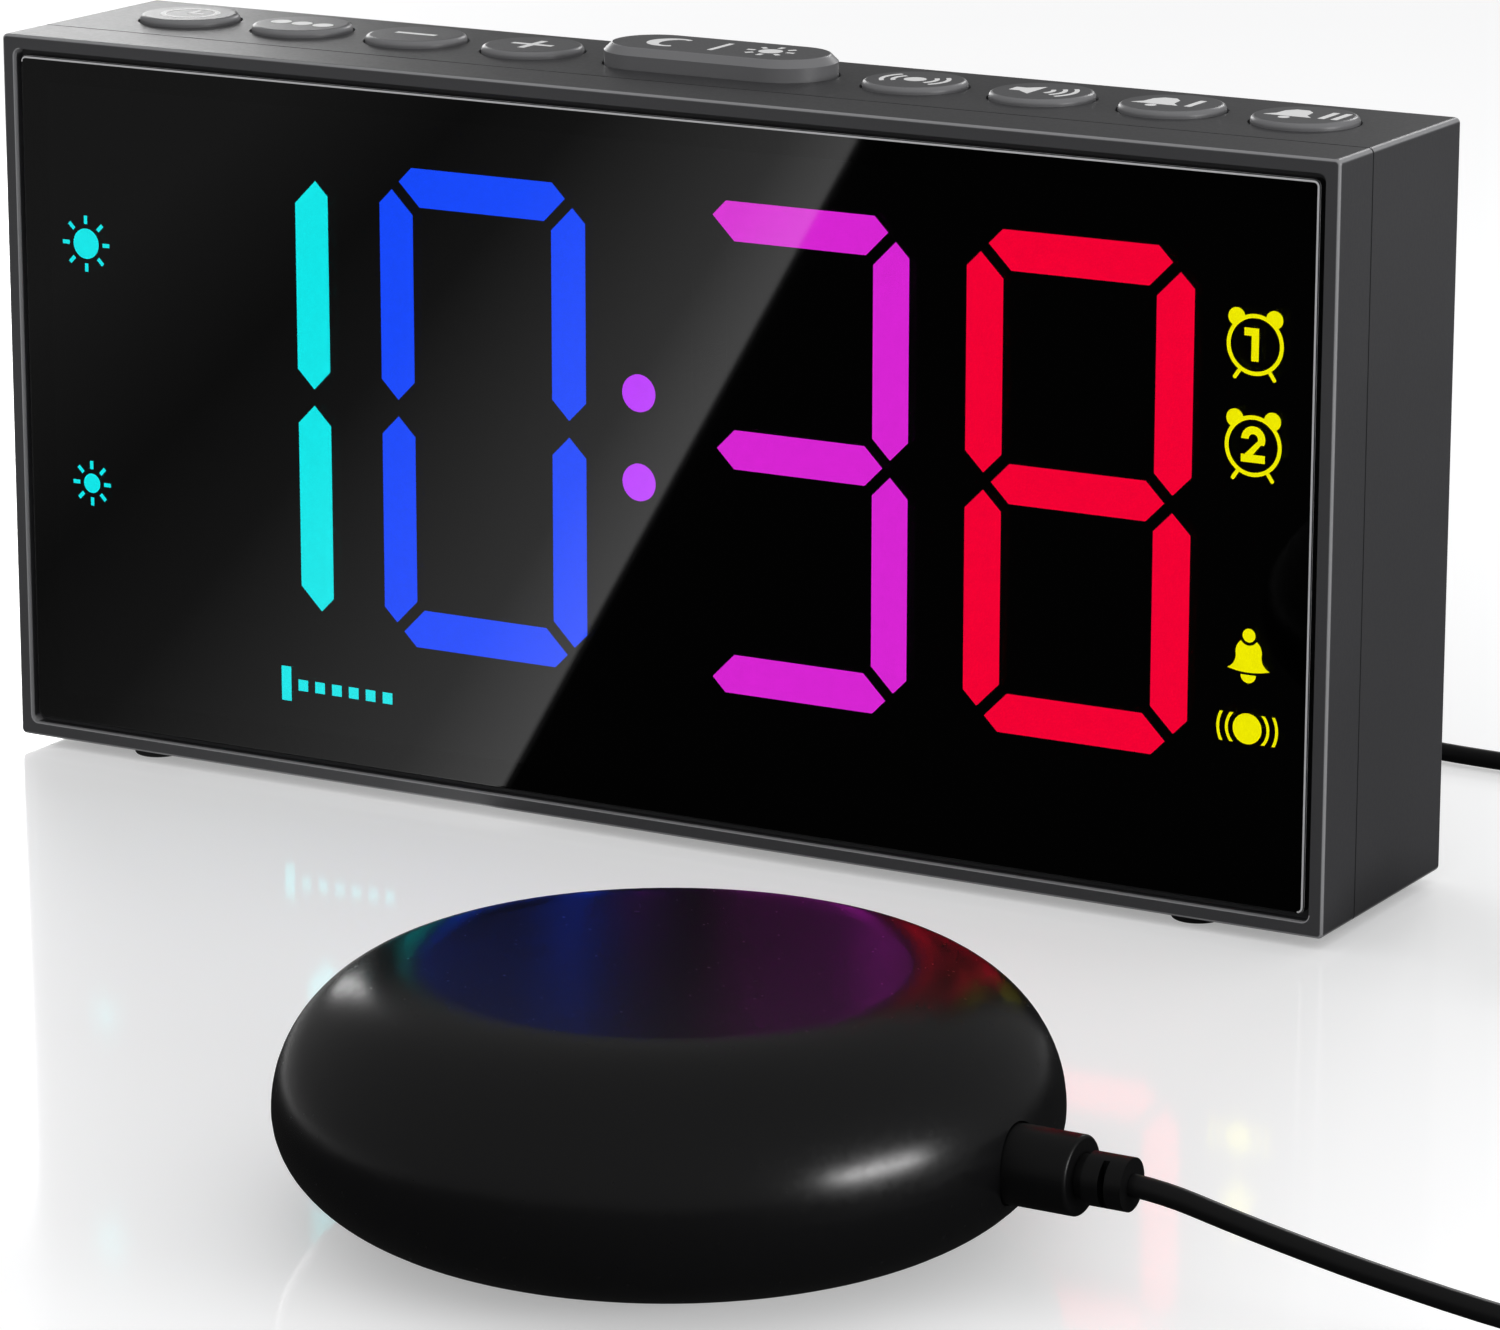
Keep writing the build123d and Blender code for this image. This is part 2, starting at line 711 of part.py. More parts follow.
def rear_case():
    shell = slab(outline(0, case_corner), front_depth, case_depth)
    shell = fillet(shell.faces().sort_by(Axis.Y)[-1].edges(), rear_edge)
    shell -= slab(outline(case_wall, case_corner), front_depth, back_inside)
    shell -= slab(outline(0, case_corner) - outline(seam_depth, case_corner), front_depth,
                  front_depth + seam_width)
    ring_dia = speaker_dia + 2 * speaker_clearance
    ring = rod_y(speaker_x, speaker_z, ring_dia + 2 * speaker_rib, back_inside - speaker_flange, back_inside)
    added = [ring - rod_y(speaker_x, speaker_z, ring_dia, back_inside - speaker_flange, back_inside)]
    for x, z in boss_places:
        wall_side = math.copysign(case_width / 2 - case_wall, x)
        added.append(rod_y(x, z, boss_dia, front_depth, back_inside))
        added.append(block(sorted((x, wall_side)), (front_depth, back_inside),
                           (z - boss_dia / 4, z + boss_dia / 4)))
    added += [rod_y(x, z, boss_dia, main_board_back, back_inside) for x, z in main_screw_places]
    added += [rod_z(x, y, keypad_post_dia, mat_bottom, under_top) for x, y in keypad_posts]
    shell = battery_pocket(shell + added)
    cuts = speaker_slots() + foot_pockets()
    for x in button_names.values():
        cuts.append(rod_z(x, button_y, button_dia + 2 * button_gap, under_top, case_top))
    snooze_hole = offset(SlotOverall(snooze_length, button_dia), button_gap, kind=Kind.ARC)
    cuts.append(Pos(0, button_y, under_top) * extrude(snooze_hole, amount=case_wall))
    seat = case_depth - case_screw_head_height
    for x, z in boss_places:
        cuts.append(rod_y(x, z, case_screw_dia + 2 * hole_clearance, front_depth, case_depth))
        cuts.append(rod_y(x, z, case_screw_head + 2 * hole_clearance, seat, case_depth))
    pilot, pilot_depth = board_screw_dia + 2 * screw_clearance, board_screw_grip + screw_clearance
    cuts += [rod_y(x, z, pilot, main_board_back, main_board_back + pilot_depth) for x, z in main_screw_places]
    cuts += [rod_z(x, y, pilot, mat_bottom, mat_bottom + pilot_depth) for x, y in keypad_posts]
    for x in (shaker_outlet_x, power_inlet_x):
        cuts.append(rod_y(x, jack_z, jack_collar + 2 * hole_clearance, back_inside, case_depth))
    return shell - cuts


def case_screws():
    length = case_depth - case_screw_head_height - front_depth + case_screw_grip
    one = screw(case_screw_dia, case_screw_head, case_screw_head_height, length)
    seat = case_depth - case_screw_head_height
    return [Pos(x, seat, z) * Rot(-90, 0, 0) * one for x, z in boss_places]


def rubber_feet():
    pads = []
    for x, y in feet:
        pad = rod_z(x, y, foot_dia, table, case_bottom + foot_recess)
        pads.append(fillet(pad.edges().group_by(Axis.Z)[0], foot_height / 4))
    return pads


# Main board, jacks and speaker

def main_board():
    low, high = case_bottom + main_board_low, case_bottom + main_board_high
    board = block((main_board_left, main_board_right), (main_board_back - board_thick, main_board_back),
                  (low, high))
    for x, z in main_screw_places:
        board -= rod_y(x, z, board_screw_dia + 2 * hole_clearance, main_board_back - board_thick,
                       main_board_back)
    return board


def main_board_screws():
    one = screw(board_screw_dia, board_screw_head, board_screw_head_height, board_thick + board_screw_grip)
    return [Pos(x, main_board_back - board_thick, z) * Rot(90, 0, 0) * one for x, z in main_screw_places]


def jack(length):
    """A coaxial jack along +Y: a square body, a round collar, and a bore open at y = 0."""
    body = block((-jack_width / 2, jack_width / 2), (-length, -case_wall), (-jack_height / 2, jack_height / 2))
    body += rod_y(0, 0, jack_collar, -case_wall, 0)
    return body - rod_y(0, 0, jack_bore, -jack_depth, 0)


def jack_contact():
    """The pin in the middle of a jack's bore."""
    pin = rod_y(0, 0, jack_pin, -jack_depth, -pin_setback)
    return fillet(pin.edges().group_by(Axis.Y)[-1], jack_pin / 5)


def speaker_frame():
    """Flange against the back wall, conical basket, round magnet."""
    front, rim = back_inside, speaker_dia / 2
    flange = rod_y(speaker_x, speaker_z, speaker_dia, front - speaker_flange, front)
    basket = Pos(speaker_x, front - speaker_flange - speaker_basket / 2, speaker_z) * Rot(90, 0, 0)
    body = flange + basket * Cone(rim - speaker_rib, magnet_dia / 2, speaker_basket)
    end = front - speaker_flange - speaker_basket
    body += rod_y(speaker_x, speaker_z, magnet_dia, end - magnet_height, end)
    return body - rod_y(speaker_x, speaker_z, cone_dia, front - speaker_flange, front)


def speaker_cone():
    depth = back_inside - speaker_flange
    cone = rod_y(speaker_x, speaker_z, cone_dia - 2 * screw_clearance, depth, depth + cone_thick)
    dome_middle = Pos(speaker_x, depth + cone_thick, speaker_z)
    dome = dome_middle * Rot(90, 0, 0) * Cylinder(cone_dia / 6, cone_thick)
    return cone + dome


# Battery door and cell

def battery_door():
    """A plate that turns on two pins at its lower edge, with a thumb notch at its top."""
    x = (battery_x - door_width / 2, battery_x + door_width / 2)
    door = block(x, (case_depth - door_thick, case_depth), (hinge_z, door_top))
    door += rod_x(hinge_y, hinge_z, 2 * knuckle_radius, *x)
    reach = door_width / 2 + hinge_pin_length
    door += rod_x(hinge_y, hinge_z, hinge_pin_dia, battery_x - reach, battery_x + reach)
    door -= rod_y(battery_x, door_top, notch_dia, case_depth - notch_depth, case_depth)
    return door


cell_z = (hinge_z + knuckle_radius + door_top) / 2
clip_back = pocket_floor + clip_thick


def cell_clip():
    """A sprung contact plate under the cell with two arms beside it."""
    half, reach = clip_arm / 2, cell_dia / 2 + cell_clearance
    z = (cell_z - half, cell_z + half)
    clip = block((battery_x - reach - clip_thick, battery_x + reach + clip_thick), (pocket_floor, clip_back), z)
    for side in (-1, 1):
        x = sorted((battery_x + side * reach, battery_x + side * (reach + clip_thick)))
        clip += block(x, (pocket_floor, clip_back + cell_thick), z)
    return clip


def coin_cell():
    cell = rod_y(battery_x, cell_z, cell_dia, clip_back, clip_back + cell_thick)
    return fillet(cell.edges().group_by(Axis.Y)[-1], clip_thick)


# Shaker

shell_bottom = pad_height
girth = shell_bottom + shaker_girth
socket_z = girth
base_top = shell_bottom + base_thick
opening_radius = shaker_base_dia / 2 - base_ledge
shaker_at = Pos(shaker_x, shaker_y, 0)


def flanks(inset):
    """Half of the pebble's section: flat base, bulging side, flat top."""
    out = shaker_radius - inset
    base_r, top_r = shaker_base_dia / 2, shaker_top_dia / 2
    low, high = shell_bottom + inset, shaker_height - inset
    lower = EllipticalCenterArc((base_r, girth), out - base_r, girth - low, -90, arc_size=90)
    upper = EllipticalCenterArc((top_r, girth), out - top_r, high - girth, 0, arc_size=90)
    outline_points = [(top_r, high), (0, high), (0, low), (base_r, low)]
    return make_face(Wire([lower.edge(), upper.edge()] + Polyline(*outline_points).edges()))


def turned(section):
    """A solid of revolution about the upright axis, from a section drawn in x and z."""
    return revolve(Plane.XZ * section, Axis.Z)


shaker_boss_reach = opening_radius - shaker_boss_inset
boss_turns = [270 + i * 360 / shaker_boss_count for i in range(shaker_boss_count)]
shaker_bosses = [(shaker_boss_reach * math.cos(math.radians(turn)),
                  shaker_boss_reach * math.sin(math.radians(turn))) for turn in boss_turns]
rib_half = jack_width / 3
jack_front = plug_face - plug_seat_gap


def shaker_shell():
    """The one-piece pebble, open at its base, with screw bosses and a rib for the socket."""
    outside, inside = turned(flanks(0)), turned(flanks(shaker_wall))
    shell = outside - inside
    shell -= rod_z(0, 0, 2 * opening_radius, shell_bottom, shell_bottom + shaker_wall)
    supports = rod_z(*shaker_bosses[0], shaker_boss_dia, base_top, shaker_height - shaker_wall / 2)
    for x, y in shaker_bosses[1:]:
        supports += rod_z(x, y, shaker_boss_dia, base_top, shaker_height - shaker_wall / 2)
    jack_top = socket_z + jack_height / 2
    supports += block((jack_front - jack_depth, jack_front - case_wall), (-rib_half, rib_half),
                      (jack_top, shaker_height - shaker_wall / 2))
    shell += supports & outside
    pilot = shaker_screw_dia + 2 * screw_clearance
    for x, y in shaker_bosses:
        shell -= rod_z(x, y, pilot, base_top, base_top + shaker_screw_grip + screw_clearance)
    return shell - rod_x(0, socket_z, plug_hole, jack_front - case_wall, shaker_radius + shaker_wall)


motor_front = motor_back + motor_length
motor_line = base_top + motor_clearance + motor_dia / 2
saddle_places = [motor_back + saddle_width, motor_front - 2 * saddle_width]
clamp_y = (saddle_places[0] + saddle_width + saddle_places[1]) / 2
clamp_outer = motor_dia / 2 + strap_clearance + clamp_thick
clamp_hole_x = clamp_outer + clamp_foot / 2


def shaker_base():
    """The base plate with saddles that carry the motor, and pads for its clamp."""
    plate = rod_z(0, 0, 2 * (opening_radius - base_clearance), shell_bottom, base_top)
    bed = rod_y(0, motor_line, motor_dia, motor_back, motor_front)
    for start in saddle_places:
        saddle = block((-motor_dia / 2, motor_dia / 2), (start, start + saddle_width),
                       (base_top, base_top + saddle_rise))
        plate += saddle - bed
    sink = shell_bottom + shaker_screw_head_height
    for x, y in shaker_bosses:
        plate -= rod_z(x, y, shaker_screw_dia + 2 * hole_clearance, shell_bottom, base_top)
        plate -= rod_z(x, y, shaker_screw_head + 2 * hole_clearance, shell_bottom, sink)
    for side in (-1, 1):
        pilot = clamp_screw_dia + 2 * screw_clearance
        depth = base_top - clamp_screw_grip - screw_clearance
        plate -= rod_z(side * clamp_hole_x, clamp_y, pilot, depth, base_top)
    return plate


def motor_can():
    """A round motor with flats of its end bosses, bored for the shaft."""
    can = rod_y(0, motor_line, motor_dia, motor_back, motor_front)
    can = fillet(can.edges().group_by(Axis.Y)[0] + can.edges().group_by(Axis.Y)[-1], motor_edge)
    can += rod_y(0, motor_line, weight_hub_dia, motor_front, motor_front + weight_gap / 2)
    bore = motor_shaft_dia + 2 * shaft_clearance
    return can - rod_y(0, motor_line, bore, motor_front - motor_shaft_grip, motor_front + weight_gap / 2)


def motor_clamp():
    """A strap bent over the motor, with a foot on each side."""
    y = (clamp_y - clamp_width / 2, clamp_y + clamp_width / 2)
    inner = motor_dia + 2 * strap_clearance
    strap = rod_y(0, motor_line, 2 * clamp_outer, *y)
    strap += block((-clamp_outer, clamp_outer), y, (base_top, motor_line))
    strap -= [rod_y(0, motor_line, inner, *y), block((-inner / 2, inner / 2), y, (table, motor_line)),
              block((-clamp_outer, clamp_outer), y, (table, base_top))]
    hole = clamp_screw_dia + 2 * hole_clearance
    for side in (-1, 1):
        x = sorted((side * (clamp_outer - clamp_thick), side * (clamp_outer + clamp_foot)))
        foot = block(x, y, (base_top, base_top + clamp_thick))
        strap += foot
        strap -= rod_z(side * clamp_hole_x, clamp_y, hole, base_top, base_top + clamp_thick)
    return strap


def clamp_screws():
    one = screw(clamp_screw_dia, clamp_screw_head, clamp_screw_head_height, clamp_thick + clamp_screw_grip)
    return [Pos(side * clamp_hole_x, clamp_y, base_top + clamp_thick) * one for side in (-1, 1)]


def shaker_screws():
    sink = shell_bottom + shaker_screw_head_height
    length = base_top - sink + shaker_screw_grip
    one = screw(shaker_screw_dia, shaker_screw_head, shaker_screw_head_height, length)
    return [Pos(x, y, sink) * Rot(180, 0, 0) * one for x, y in shaker_bosses]


weight_back = motor_front + weight_gap
weight_front = weight_back + weight_thick


def motor_shaft():
    return rod_y(0, motor_line, motor_shaft_dia, motor_front - motor_shaft_grip, weight_front)


def eccentric_weight():
    """A half-round weight that hangs below the shaft at rest."""
    weight = rod_y(0, motor_line, 2 * weight_radius, weight_back, weight_front)
    weight -= block((-weight_radius, weight_radius), (weight_back, weight_front),
                    (motor_line, motor_line + weight_radius))
    weight += rod_y(0, motor_line, weight_hub_dia, weight_back, weight_front)
    return weight - rod_y(0, motor_line, motor_shaft_dia, weight_back, weight_front)


# Plugs and the lead

def plug_body():
    """A moulded plug along +Y: barrel body, neck and a slotted strain relief."""
    body = rod_y(0, 0, plug_dia, 0, plug_length)
    body = fillet(body.edges().group_by(Axis.Y)[-1], plug_edge)
    relief_start = plug_length + neck_length
    body += rod_y(0, 0, neck_dia, plug_length - plug_edge, relief_start)
    relief = rod_y(0, 0, relief_dia, relief_start, relief_start + relief_length)
    reach = relief_dia / 2 - relief_slot_depth / 2
    for side in (-1, 1):
        slot_box = Box(relief_slot_depth, relief_slot, relief_dia)
        relief -= Pos(side * reach, relief_start + relief_length / 2, 0) * slot_box
    return body + relief


def plug_barrel():
    """The metal sleeve at the front of a plug."""
    return rod_y(0, 0, barrel_dia, -barrel_length, 0) - rod_y(0, 0, barrel_bore, -barrel_length, 0)


plug_reach = plug_length + neck_length + relief_length
shaker_plug_at = shaker_at * Pos(plug_face, 0, socket_z) * Rot(0, 0, -90)
clock_plug_at = Pos(shaker_outlet_x, case_depth + plug_seat_gap, jack_z)
lead_start = (shaker_x + plug_face + plug_reach, shaker_y, socket_z)
lead_end = (shaker_outlet_x, case_depth + plug_seat_gap + plug_reach, jack_z)
coil_low = table + tie_thick + tie_clearance + cord_radius
coil_high = coil_low + (coil_layers - 1) * coil_pitch
coil_start = coil_inner + (coil_half_turns + 1) * coil_pitch / 2 + climb_step
floor_line = table + cord_radius


def coil_arcs():
    """Half turns in and out again, layer on layer: side, two radii and two heights of each."""
    arcs = []
    spot, side, height = coil_start, 1, coil_low
    for layer in range(coil_layers):
        way = 1 if layer % 2 else -1
        steps = [coil_pitch / 2] * (coil_half_turns if layer else coil_half_turns + 1)
        if layer > 0:
            steps[0] += climb_step
        if layer < coil_layers - 1:
            steps[-1] += climb_step
        for step in steps:
            arcs.append((side, spot, spot + way * step, height, height))
            spot += way * step
            side = -side
        if layer < coil_layers - 1:
            arcs.append((side, spot, spot, height, height + coil_pitch))
            height += coil_pitch
            side = -side
    return arcs


def half_turn_point(arc, share):
    """A point of one half turn, at a share of its way."""
    side, start, end, low, high = arc
    middle, radius = side * (start - end) / 2, (start + end) / 2
    angle = math.pi * share
    x = coil_x + middle + side * radius * math.cos(angle)
    y = coil_y + side * math.hypot(radius, (high - low) / 2) * math.sin(angle)
    return (x, y, low + (high - low) * (1 - math.cos(angle)) / 2)


def coil_path():
    arcs = coil_arcs()
    first = half_turn_point(arcs[0], 0)
    last = half_turn_point(arcs[-1], 1)
    edges = [Line((first[0], first[1] - cord_dia, first[2]), first)]
    for arc in arcs:
        edges.append(ThreePointArc(*[half_turn_point(arc, share) for share in (0, 0.5, 1)]))
    edges.append(Line(last, (last[0], last[1] + cord_dia, last[2])))
    start, end = edges[0] @ 0, edges[-1] @ 1
    return Wire([edge.edge() for edge in edges]), tuple(start), tuple(end)


def least_gap():
    """The least distance between two stretches of the coil that lie half a turn or more apart."""
    points = []
    for arc in coil_arcs():
        points.extend(half_turn_point(arc, i / gap_samples) for i in range(gap_samples))
    least = coil_start
    for i, a in enumerate(points):
        for b in points[i + gap_samples:]:
            if abs(a[0] - b[0]) < least and abs(a[1] - b[1]) < least:
                least = min(least, math.dist(a, b))
    return least - cord_dia


def lead_route(points):
    """A cord's path: straight runs joined by arcs as large as the runs allow."""
    radii = []
    for before, here, after in zip(points, points[1:], points[2:]):
        arriving, leaving = Vector(*here) - Vector(*before), Vector(*after) - Vector(*here)
        turn = math.radians(arriving.get_angle(leaving))
        radii.append(0.45 * min(arriving.length, leaving.length) / math.tan(turn / 2))
    return FilletPolyline(*points, radius=radii), radii


def tube(name, path):
    """A round cord along a path, with its volume set against section times length."""
    start = Plane(origin=path @ 0, z_dir=path % 0)
    cord = sweep(start * Circle(cord_radius), path=path)
    expected = math.pi * cord_radius ** 2 * path.length
    print(f"{name}: length {path.length:.1f} mm, volume {cord.volume:.1f} of {expected:.1f} mm3")
    return cord


coil_wire, coil_in, coil_out = coil_path()


def beyond(end, x, y, z):
    """A point of the lead at this offset from one of its ends."""
    return (end[0] + x, end[1] + y, end[2] + z)


# From the shaker's plug down to the table, round to the right and into the coil
shaker_route = [
    lead_start,
    beyond(lead_start, 4.6, 0, 0),
    beyond(lead_start, 15.4, 0, -3.2),
    beyond(lead_start, 27.4, -0.3, -5.4),
    beyond(lead_start, 41.4, 0.2, -6.7),
    beyond(lead_start, 56.4, 3.8, -9.5),
    (199.0, -106.0, 1.4),
    (204.6, -90.0, floor_line),
    (202.6, -72.0, floor_line),
    (195.6, -54.5, floor_line),
    (186.0, -39.0, floor_line),
    beyond(coil_in, 9.4, -31.8, -0.8),
    beyond(coil_in, 0, -16.6, 0),
    coil_in,
]

# From the coil down to the table, along behind the clock and up to its plug
clock_route = [
    coil_out,
    beyond(coil_out, 0, 13.0, 0),
    beyond(coil_out, -1.6, 27.6, -3.4),
    beyond(coil_out, -7.6, 41.6, -7.8),
    (147.0, 67.0, 1.4),
    (133.6, 75.6, floor_line),
    (118.5, 81.2, floor_line),
    (102.4, 84.2, floor_line),
    (87.0, 85.3, floor_line),
    (72.0, 85.9, floor_line),
    beyond(lead_end, 28.4, 38.0, -19.6),
    beyond(lead_end, 16.0, 38.4, -16.2),
    beyond(lead_end, 6.0, 33.4, -9.7),
    beyond(lead_end, 1.0, 23.0, -3.2),
    beyond(lead_end, 0, 11.0, 0),
    lead_end,
]


def lead_tie():
    """A strap round the whole bundle of turns, at the coil's left side."""
    room = cord_radius + tie_clearance
    hollow = math.sqrt((coil_inner - cord_radius) ** 2 - (tie_width / 2) ** 2)
    x = (coil_x - coil_start - room, coil_x - hollow + tie_clearance)
    z = (coil_low - room, coil_high + room)
    y = (coil_y - tie_width / 2, coil_y + tie_width / 2)
    inside = block(x, y, z)
    outside = block((x[0] - tie_thick, x[1] + tie_thick), y, (z[0] - tie_thick, z[1] + tie_thick))
    outside = fillet(outside.edges().filter_by(Axis.Y), 2 * tie_thick)
    return outside - fillet(inside.edges().filter_by(Axis.Y), tie_thick)


os.makedirs("parts", exist_ok=True)

save("front_frame", front_frame())
save("display_lens", display_lens())
save("display_housing", display_housing())
for digit, lit in digit_lit.items():
    save(f"digit_{digit}", *inserts(digit_bars(digit, lit)))
save("colon_dots", *inserts(dots(colon_dot)))
unlit = []
for digit, lit in digit_lit.items():
    unlit.extend(digit_bars(digit, [name for name in "abcdefg" if name not in lit]))
save("unlit_segments", *inserts(unlit))
save("alarm_marks", *thin_marks(alarm_marks))
save("bell_mark", *thin_marks(bell_marks))
save("vibration_mark", *thin_marks(vibration_marks))
save("status_marks", *thin_marks(status_marks))
save("display_board", display_board())
save("display_leds", *display_leds())
save("display_screws", *board_screws(display_screw_places, front_depth + board_thick))

for name, x in button_names.items():
    save(name, round_button(x))
save("snooze_bar", snooze_bar())
save("keypad_mat", keypad_mat())
save("keypad_board", keypad_board())
save("keypad_screws", *keypad_screws())

save("rear_case", rear_case())
save("case_screws", *case_screws())
save("rubber_feet", *rubber_feet())
save("main_board", main_board())
save("main_board_screws", *main_board_screws())
jack_length = case_depth - main_board_back
outlet_at = Pos(shaker_outlet_x, case_depth, jack_z)
inlet_at = Pos(power_inlet_x, case_depth, jack_z)
socket_at = shaker_at * Pos(jack_front, 0, socket_z) * Rot(0, 0, -90)
save("shaker_outlet", outlet_at * jack(jack_length))
save("power_inlet", inlet_at * jack(jack_length))
save("jack_pins", outlet_at * jack_contact(), inlet_at * jack_contact(), socket_at * jack_contact())
save("speaker_frame", speaker_frame())
save("speaker_cone", speaker_cone())
save("battery_door", battery_door())
save("cell_clip", cell_clip())
save("coin_cell", coin_cell())

save("shaker_shell", shaker_at * shaker_shell())
save("shaker_base", shaker_at * shaker_base())
pad_dia = 2 * (opening_radius - pad_inset)
save("shaker_pad", shaker_at * rod_z(0, 0, pad_dia, table, shell_bottom))
save("shaker_screws", *[shaker_at * one for one in shaker_screws()])
save("shaker_socket", socket_at * jack(jack_depth + case_wall))
save("motor_can", shaker_at * motor_can())
save("motor_clamp", shaker_at * motor_clamp())
save("clamp_screws", *[shaker_at * one for one in clamp_screws()])
save("motor_shaft", shaker_at * motor_shaft())
save("eccentric_weight", shaker_at * eccentric_weight())

shaker_run, shaker_radii = lead_route(shaker_route)
clock_run, clock_radii = lead_route(clock_route)
print("radii from the shaker:", [round(radius, 1) for radius in shaker_radii])
print("radii to the clock:", [round(radius, 1) for radius in clock_radii])
print(f"least gap of the coil to itself: {least_gap():.2f} mm")
save("shaker_plug", shaker_plug_at * plug_body())
save("clock_plug", clock_plug_at * plug_body())
save("plug_barrels", shaker_plug_at * plug_barrel(), clock_plug_at * plug_barrel())
save("lead_shaker_run", tube("lead_shaker_run", shaker_run))
save("lead_coil", tube("lead_coil", coil_wire))
save("lead_clock_run", tube("lead_clock_run", clock_run))
save("lead_tie", lead_tie())
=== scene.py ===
# %% [markdown]
# # A bed shaker alarm clock
# This lesson dresses a clock that was drawn in CAD. The shapes of its case, keys, display and shaker
# come from the imported model, and stay where they are. Blender adds the lead, the prints on the keys,
# the rubber mat under them, the strap round the coil, strips of painted highlight on the edges of the
# display, and a finish for every piece, with painted highlights on the edges of the case and keys.

# %% Load the model
import bmesh
import bpy
import math
from mathutils import Matrix, Vector


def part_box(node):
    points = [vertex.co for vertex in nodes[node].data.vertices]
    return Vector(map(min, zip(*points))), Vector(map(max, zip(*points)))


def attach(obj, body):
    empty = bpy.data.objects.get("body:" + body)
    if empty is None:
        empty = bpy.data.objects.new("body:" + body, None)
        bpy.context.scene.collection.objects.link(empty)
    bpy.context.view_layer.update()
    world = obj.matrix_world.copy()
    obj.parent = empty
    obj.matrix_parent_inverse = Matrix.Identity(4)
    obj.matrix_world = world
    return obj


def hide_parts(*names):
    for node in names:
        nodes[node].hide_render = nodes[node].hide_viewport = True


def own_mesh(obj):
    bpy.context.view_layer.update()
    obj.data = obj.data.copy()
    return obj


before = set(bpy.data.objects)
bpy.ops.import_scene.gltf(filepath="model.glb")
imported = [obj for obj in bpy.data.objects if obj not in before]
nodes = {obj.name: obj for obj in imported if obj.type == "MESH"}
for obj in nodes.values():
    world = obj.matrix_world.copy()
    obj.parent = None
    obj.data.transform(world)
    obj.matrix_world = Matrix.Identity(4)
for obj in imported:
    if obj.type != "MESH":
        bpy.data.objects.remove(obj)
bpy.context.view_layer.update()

# %% [markdown]
# ## The camera
# The place of the camera was worked out from the corners of the case, so that the straight edges of
# the model fall on those of the picture. A long lens well away from the clock gives its calm
# perspective. The matrix is built from three directions: right, up, and away from the view.

# %% Camera
camera_place = Vector((0.385299, -0.599347, 0.2212))
looking = Vector((-0.48114439, 0.840567, -0.24889191)).normalized()
upwards = Vector((-0.12449145, 0.21552253, 0.96853081)).normalized()
rightwards = looking.cross(upwards)

camera_data = bpy.data.cameras.new("camera")
camera_data.sensor_width = 36.0
camera_data.lens = 152.55
camera_data.clip_end = 20.0
camera = bpy.data.objects.new("camera", camera_data)
turn = Matrix((rightwards, upwards, -looking)).transposed().to_4x4()
camera.matrix_world = Matrix.Translation(camera_place) @ turn
bpy.context.scene.collection.objects.link(camera)
bpy.context.scene.camera = camera
print("camera at", tuple(round(value, 3) for value in camera_place))

# %% [markdown]
# ## The lead
# A thin vinyl lead joins the shaker to the back of the clock. It leaves the plug straight, sinks to
# the table, and the spare length lies in a tied coil. One NURBS curve along the points of the
# route is the natural way to lay it: the curve is smooth whatever the points are, and its round
# section is a bevel. The turns of the coil are more points of the same curve, made in a loop.
# The thickness is given to the points and not to the bevel, so that the box of the curve stays true.

# %% Route of the lead, in millimetres about the middle of the clock's front
shift = Vector((-10.857758, 63.45, 0.0))
cord_width = 2.4
floor_line = cord_width / 2
lead_start = Vector((129.6, -120.0, 12.4))
lead_end = Vector((30.0, 49.5, 21.2))

coil_middle = Vector((145.7, 10.0, 0.0))
coil_inner = 8.3
coil_pitch = 2.9
climb_step = 0.5
coil_layers = 4
half_turns = 7
strap_room = 0.9
coil_low = strap_room + floor_line
points_per_half = 12


def coil_points():
    """Points of the coil: half turns that spiral in and out again, layer on layer."""
    points = []
    radius = coil_inner + (half_turns + 1) * coil_pitch / 2 + climb_step
    side, height = 1, coil_low

    def half_turn(start, end, low, high):
        middle, mean = side * (start - end) / 2, (start + end) / 2
        for i in range(points_per_half):
            angle = math.pi * i / points_per_half
            along = math.hypot(mean, (high - low) / 2)
            offset = Vector((middle + side * mean * math.cos(angle), side * along * math.sin(angle),
                             low + (high - low) * (1 - math.cos(angle)) / 2))
            points.append(coil_middle + offset)

    for layer in range(coil_layers):
        way = 1 if layer % 2 else -1
        steps = [coil_pitch / 2] * (half_turns if layer else half_turns + 1)
        if layer > 0:
            steps[0] += climb_step
        if layer < coil_layers - 1:
            steps[-1] += climb_step
        for step in steps:
            half_turn(radius, radius + way * step, height, height)
            radius += way * step
            side = -side
        if layer < coil_layers - 1:
            half_turn(radius, radius, height, height + coil_pitch)
            height += coil_pitch
            side = -side
    points.append(coil_middle + Vector((side * radius, 0, height)))
    return points


turns = coil_points()
coil_in = turns[0] - Vector((0, cord_width, 0))
coil_out = turns[-1] + Vector((0, cord_width, 0))

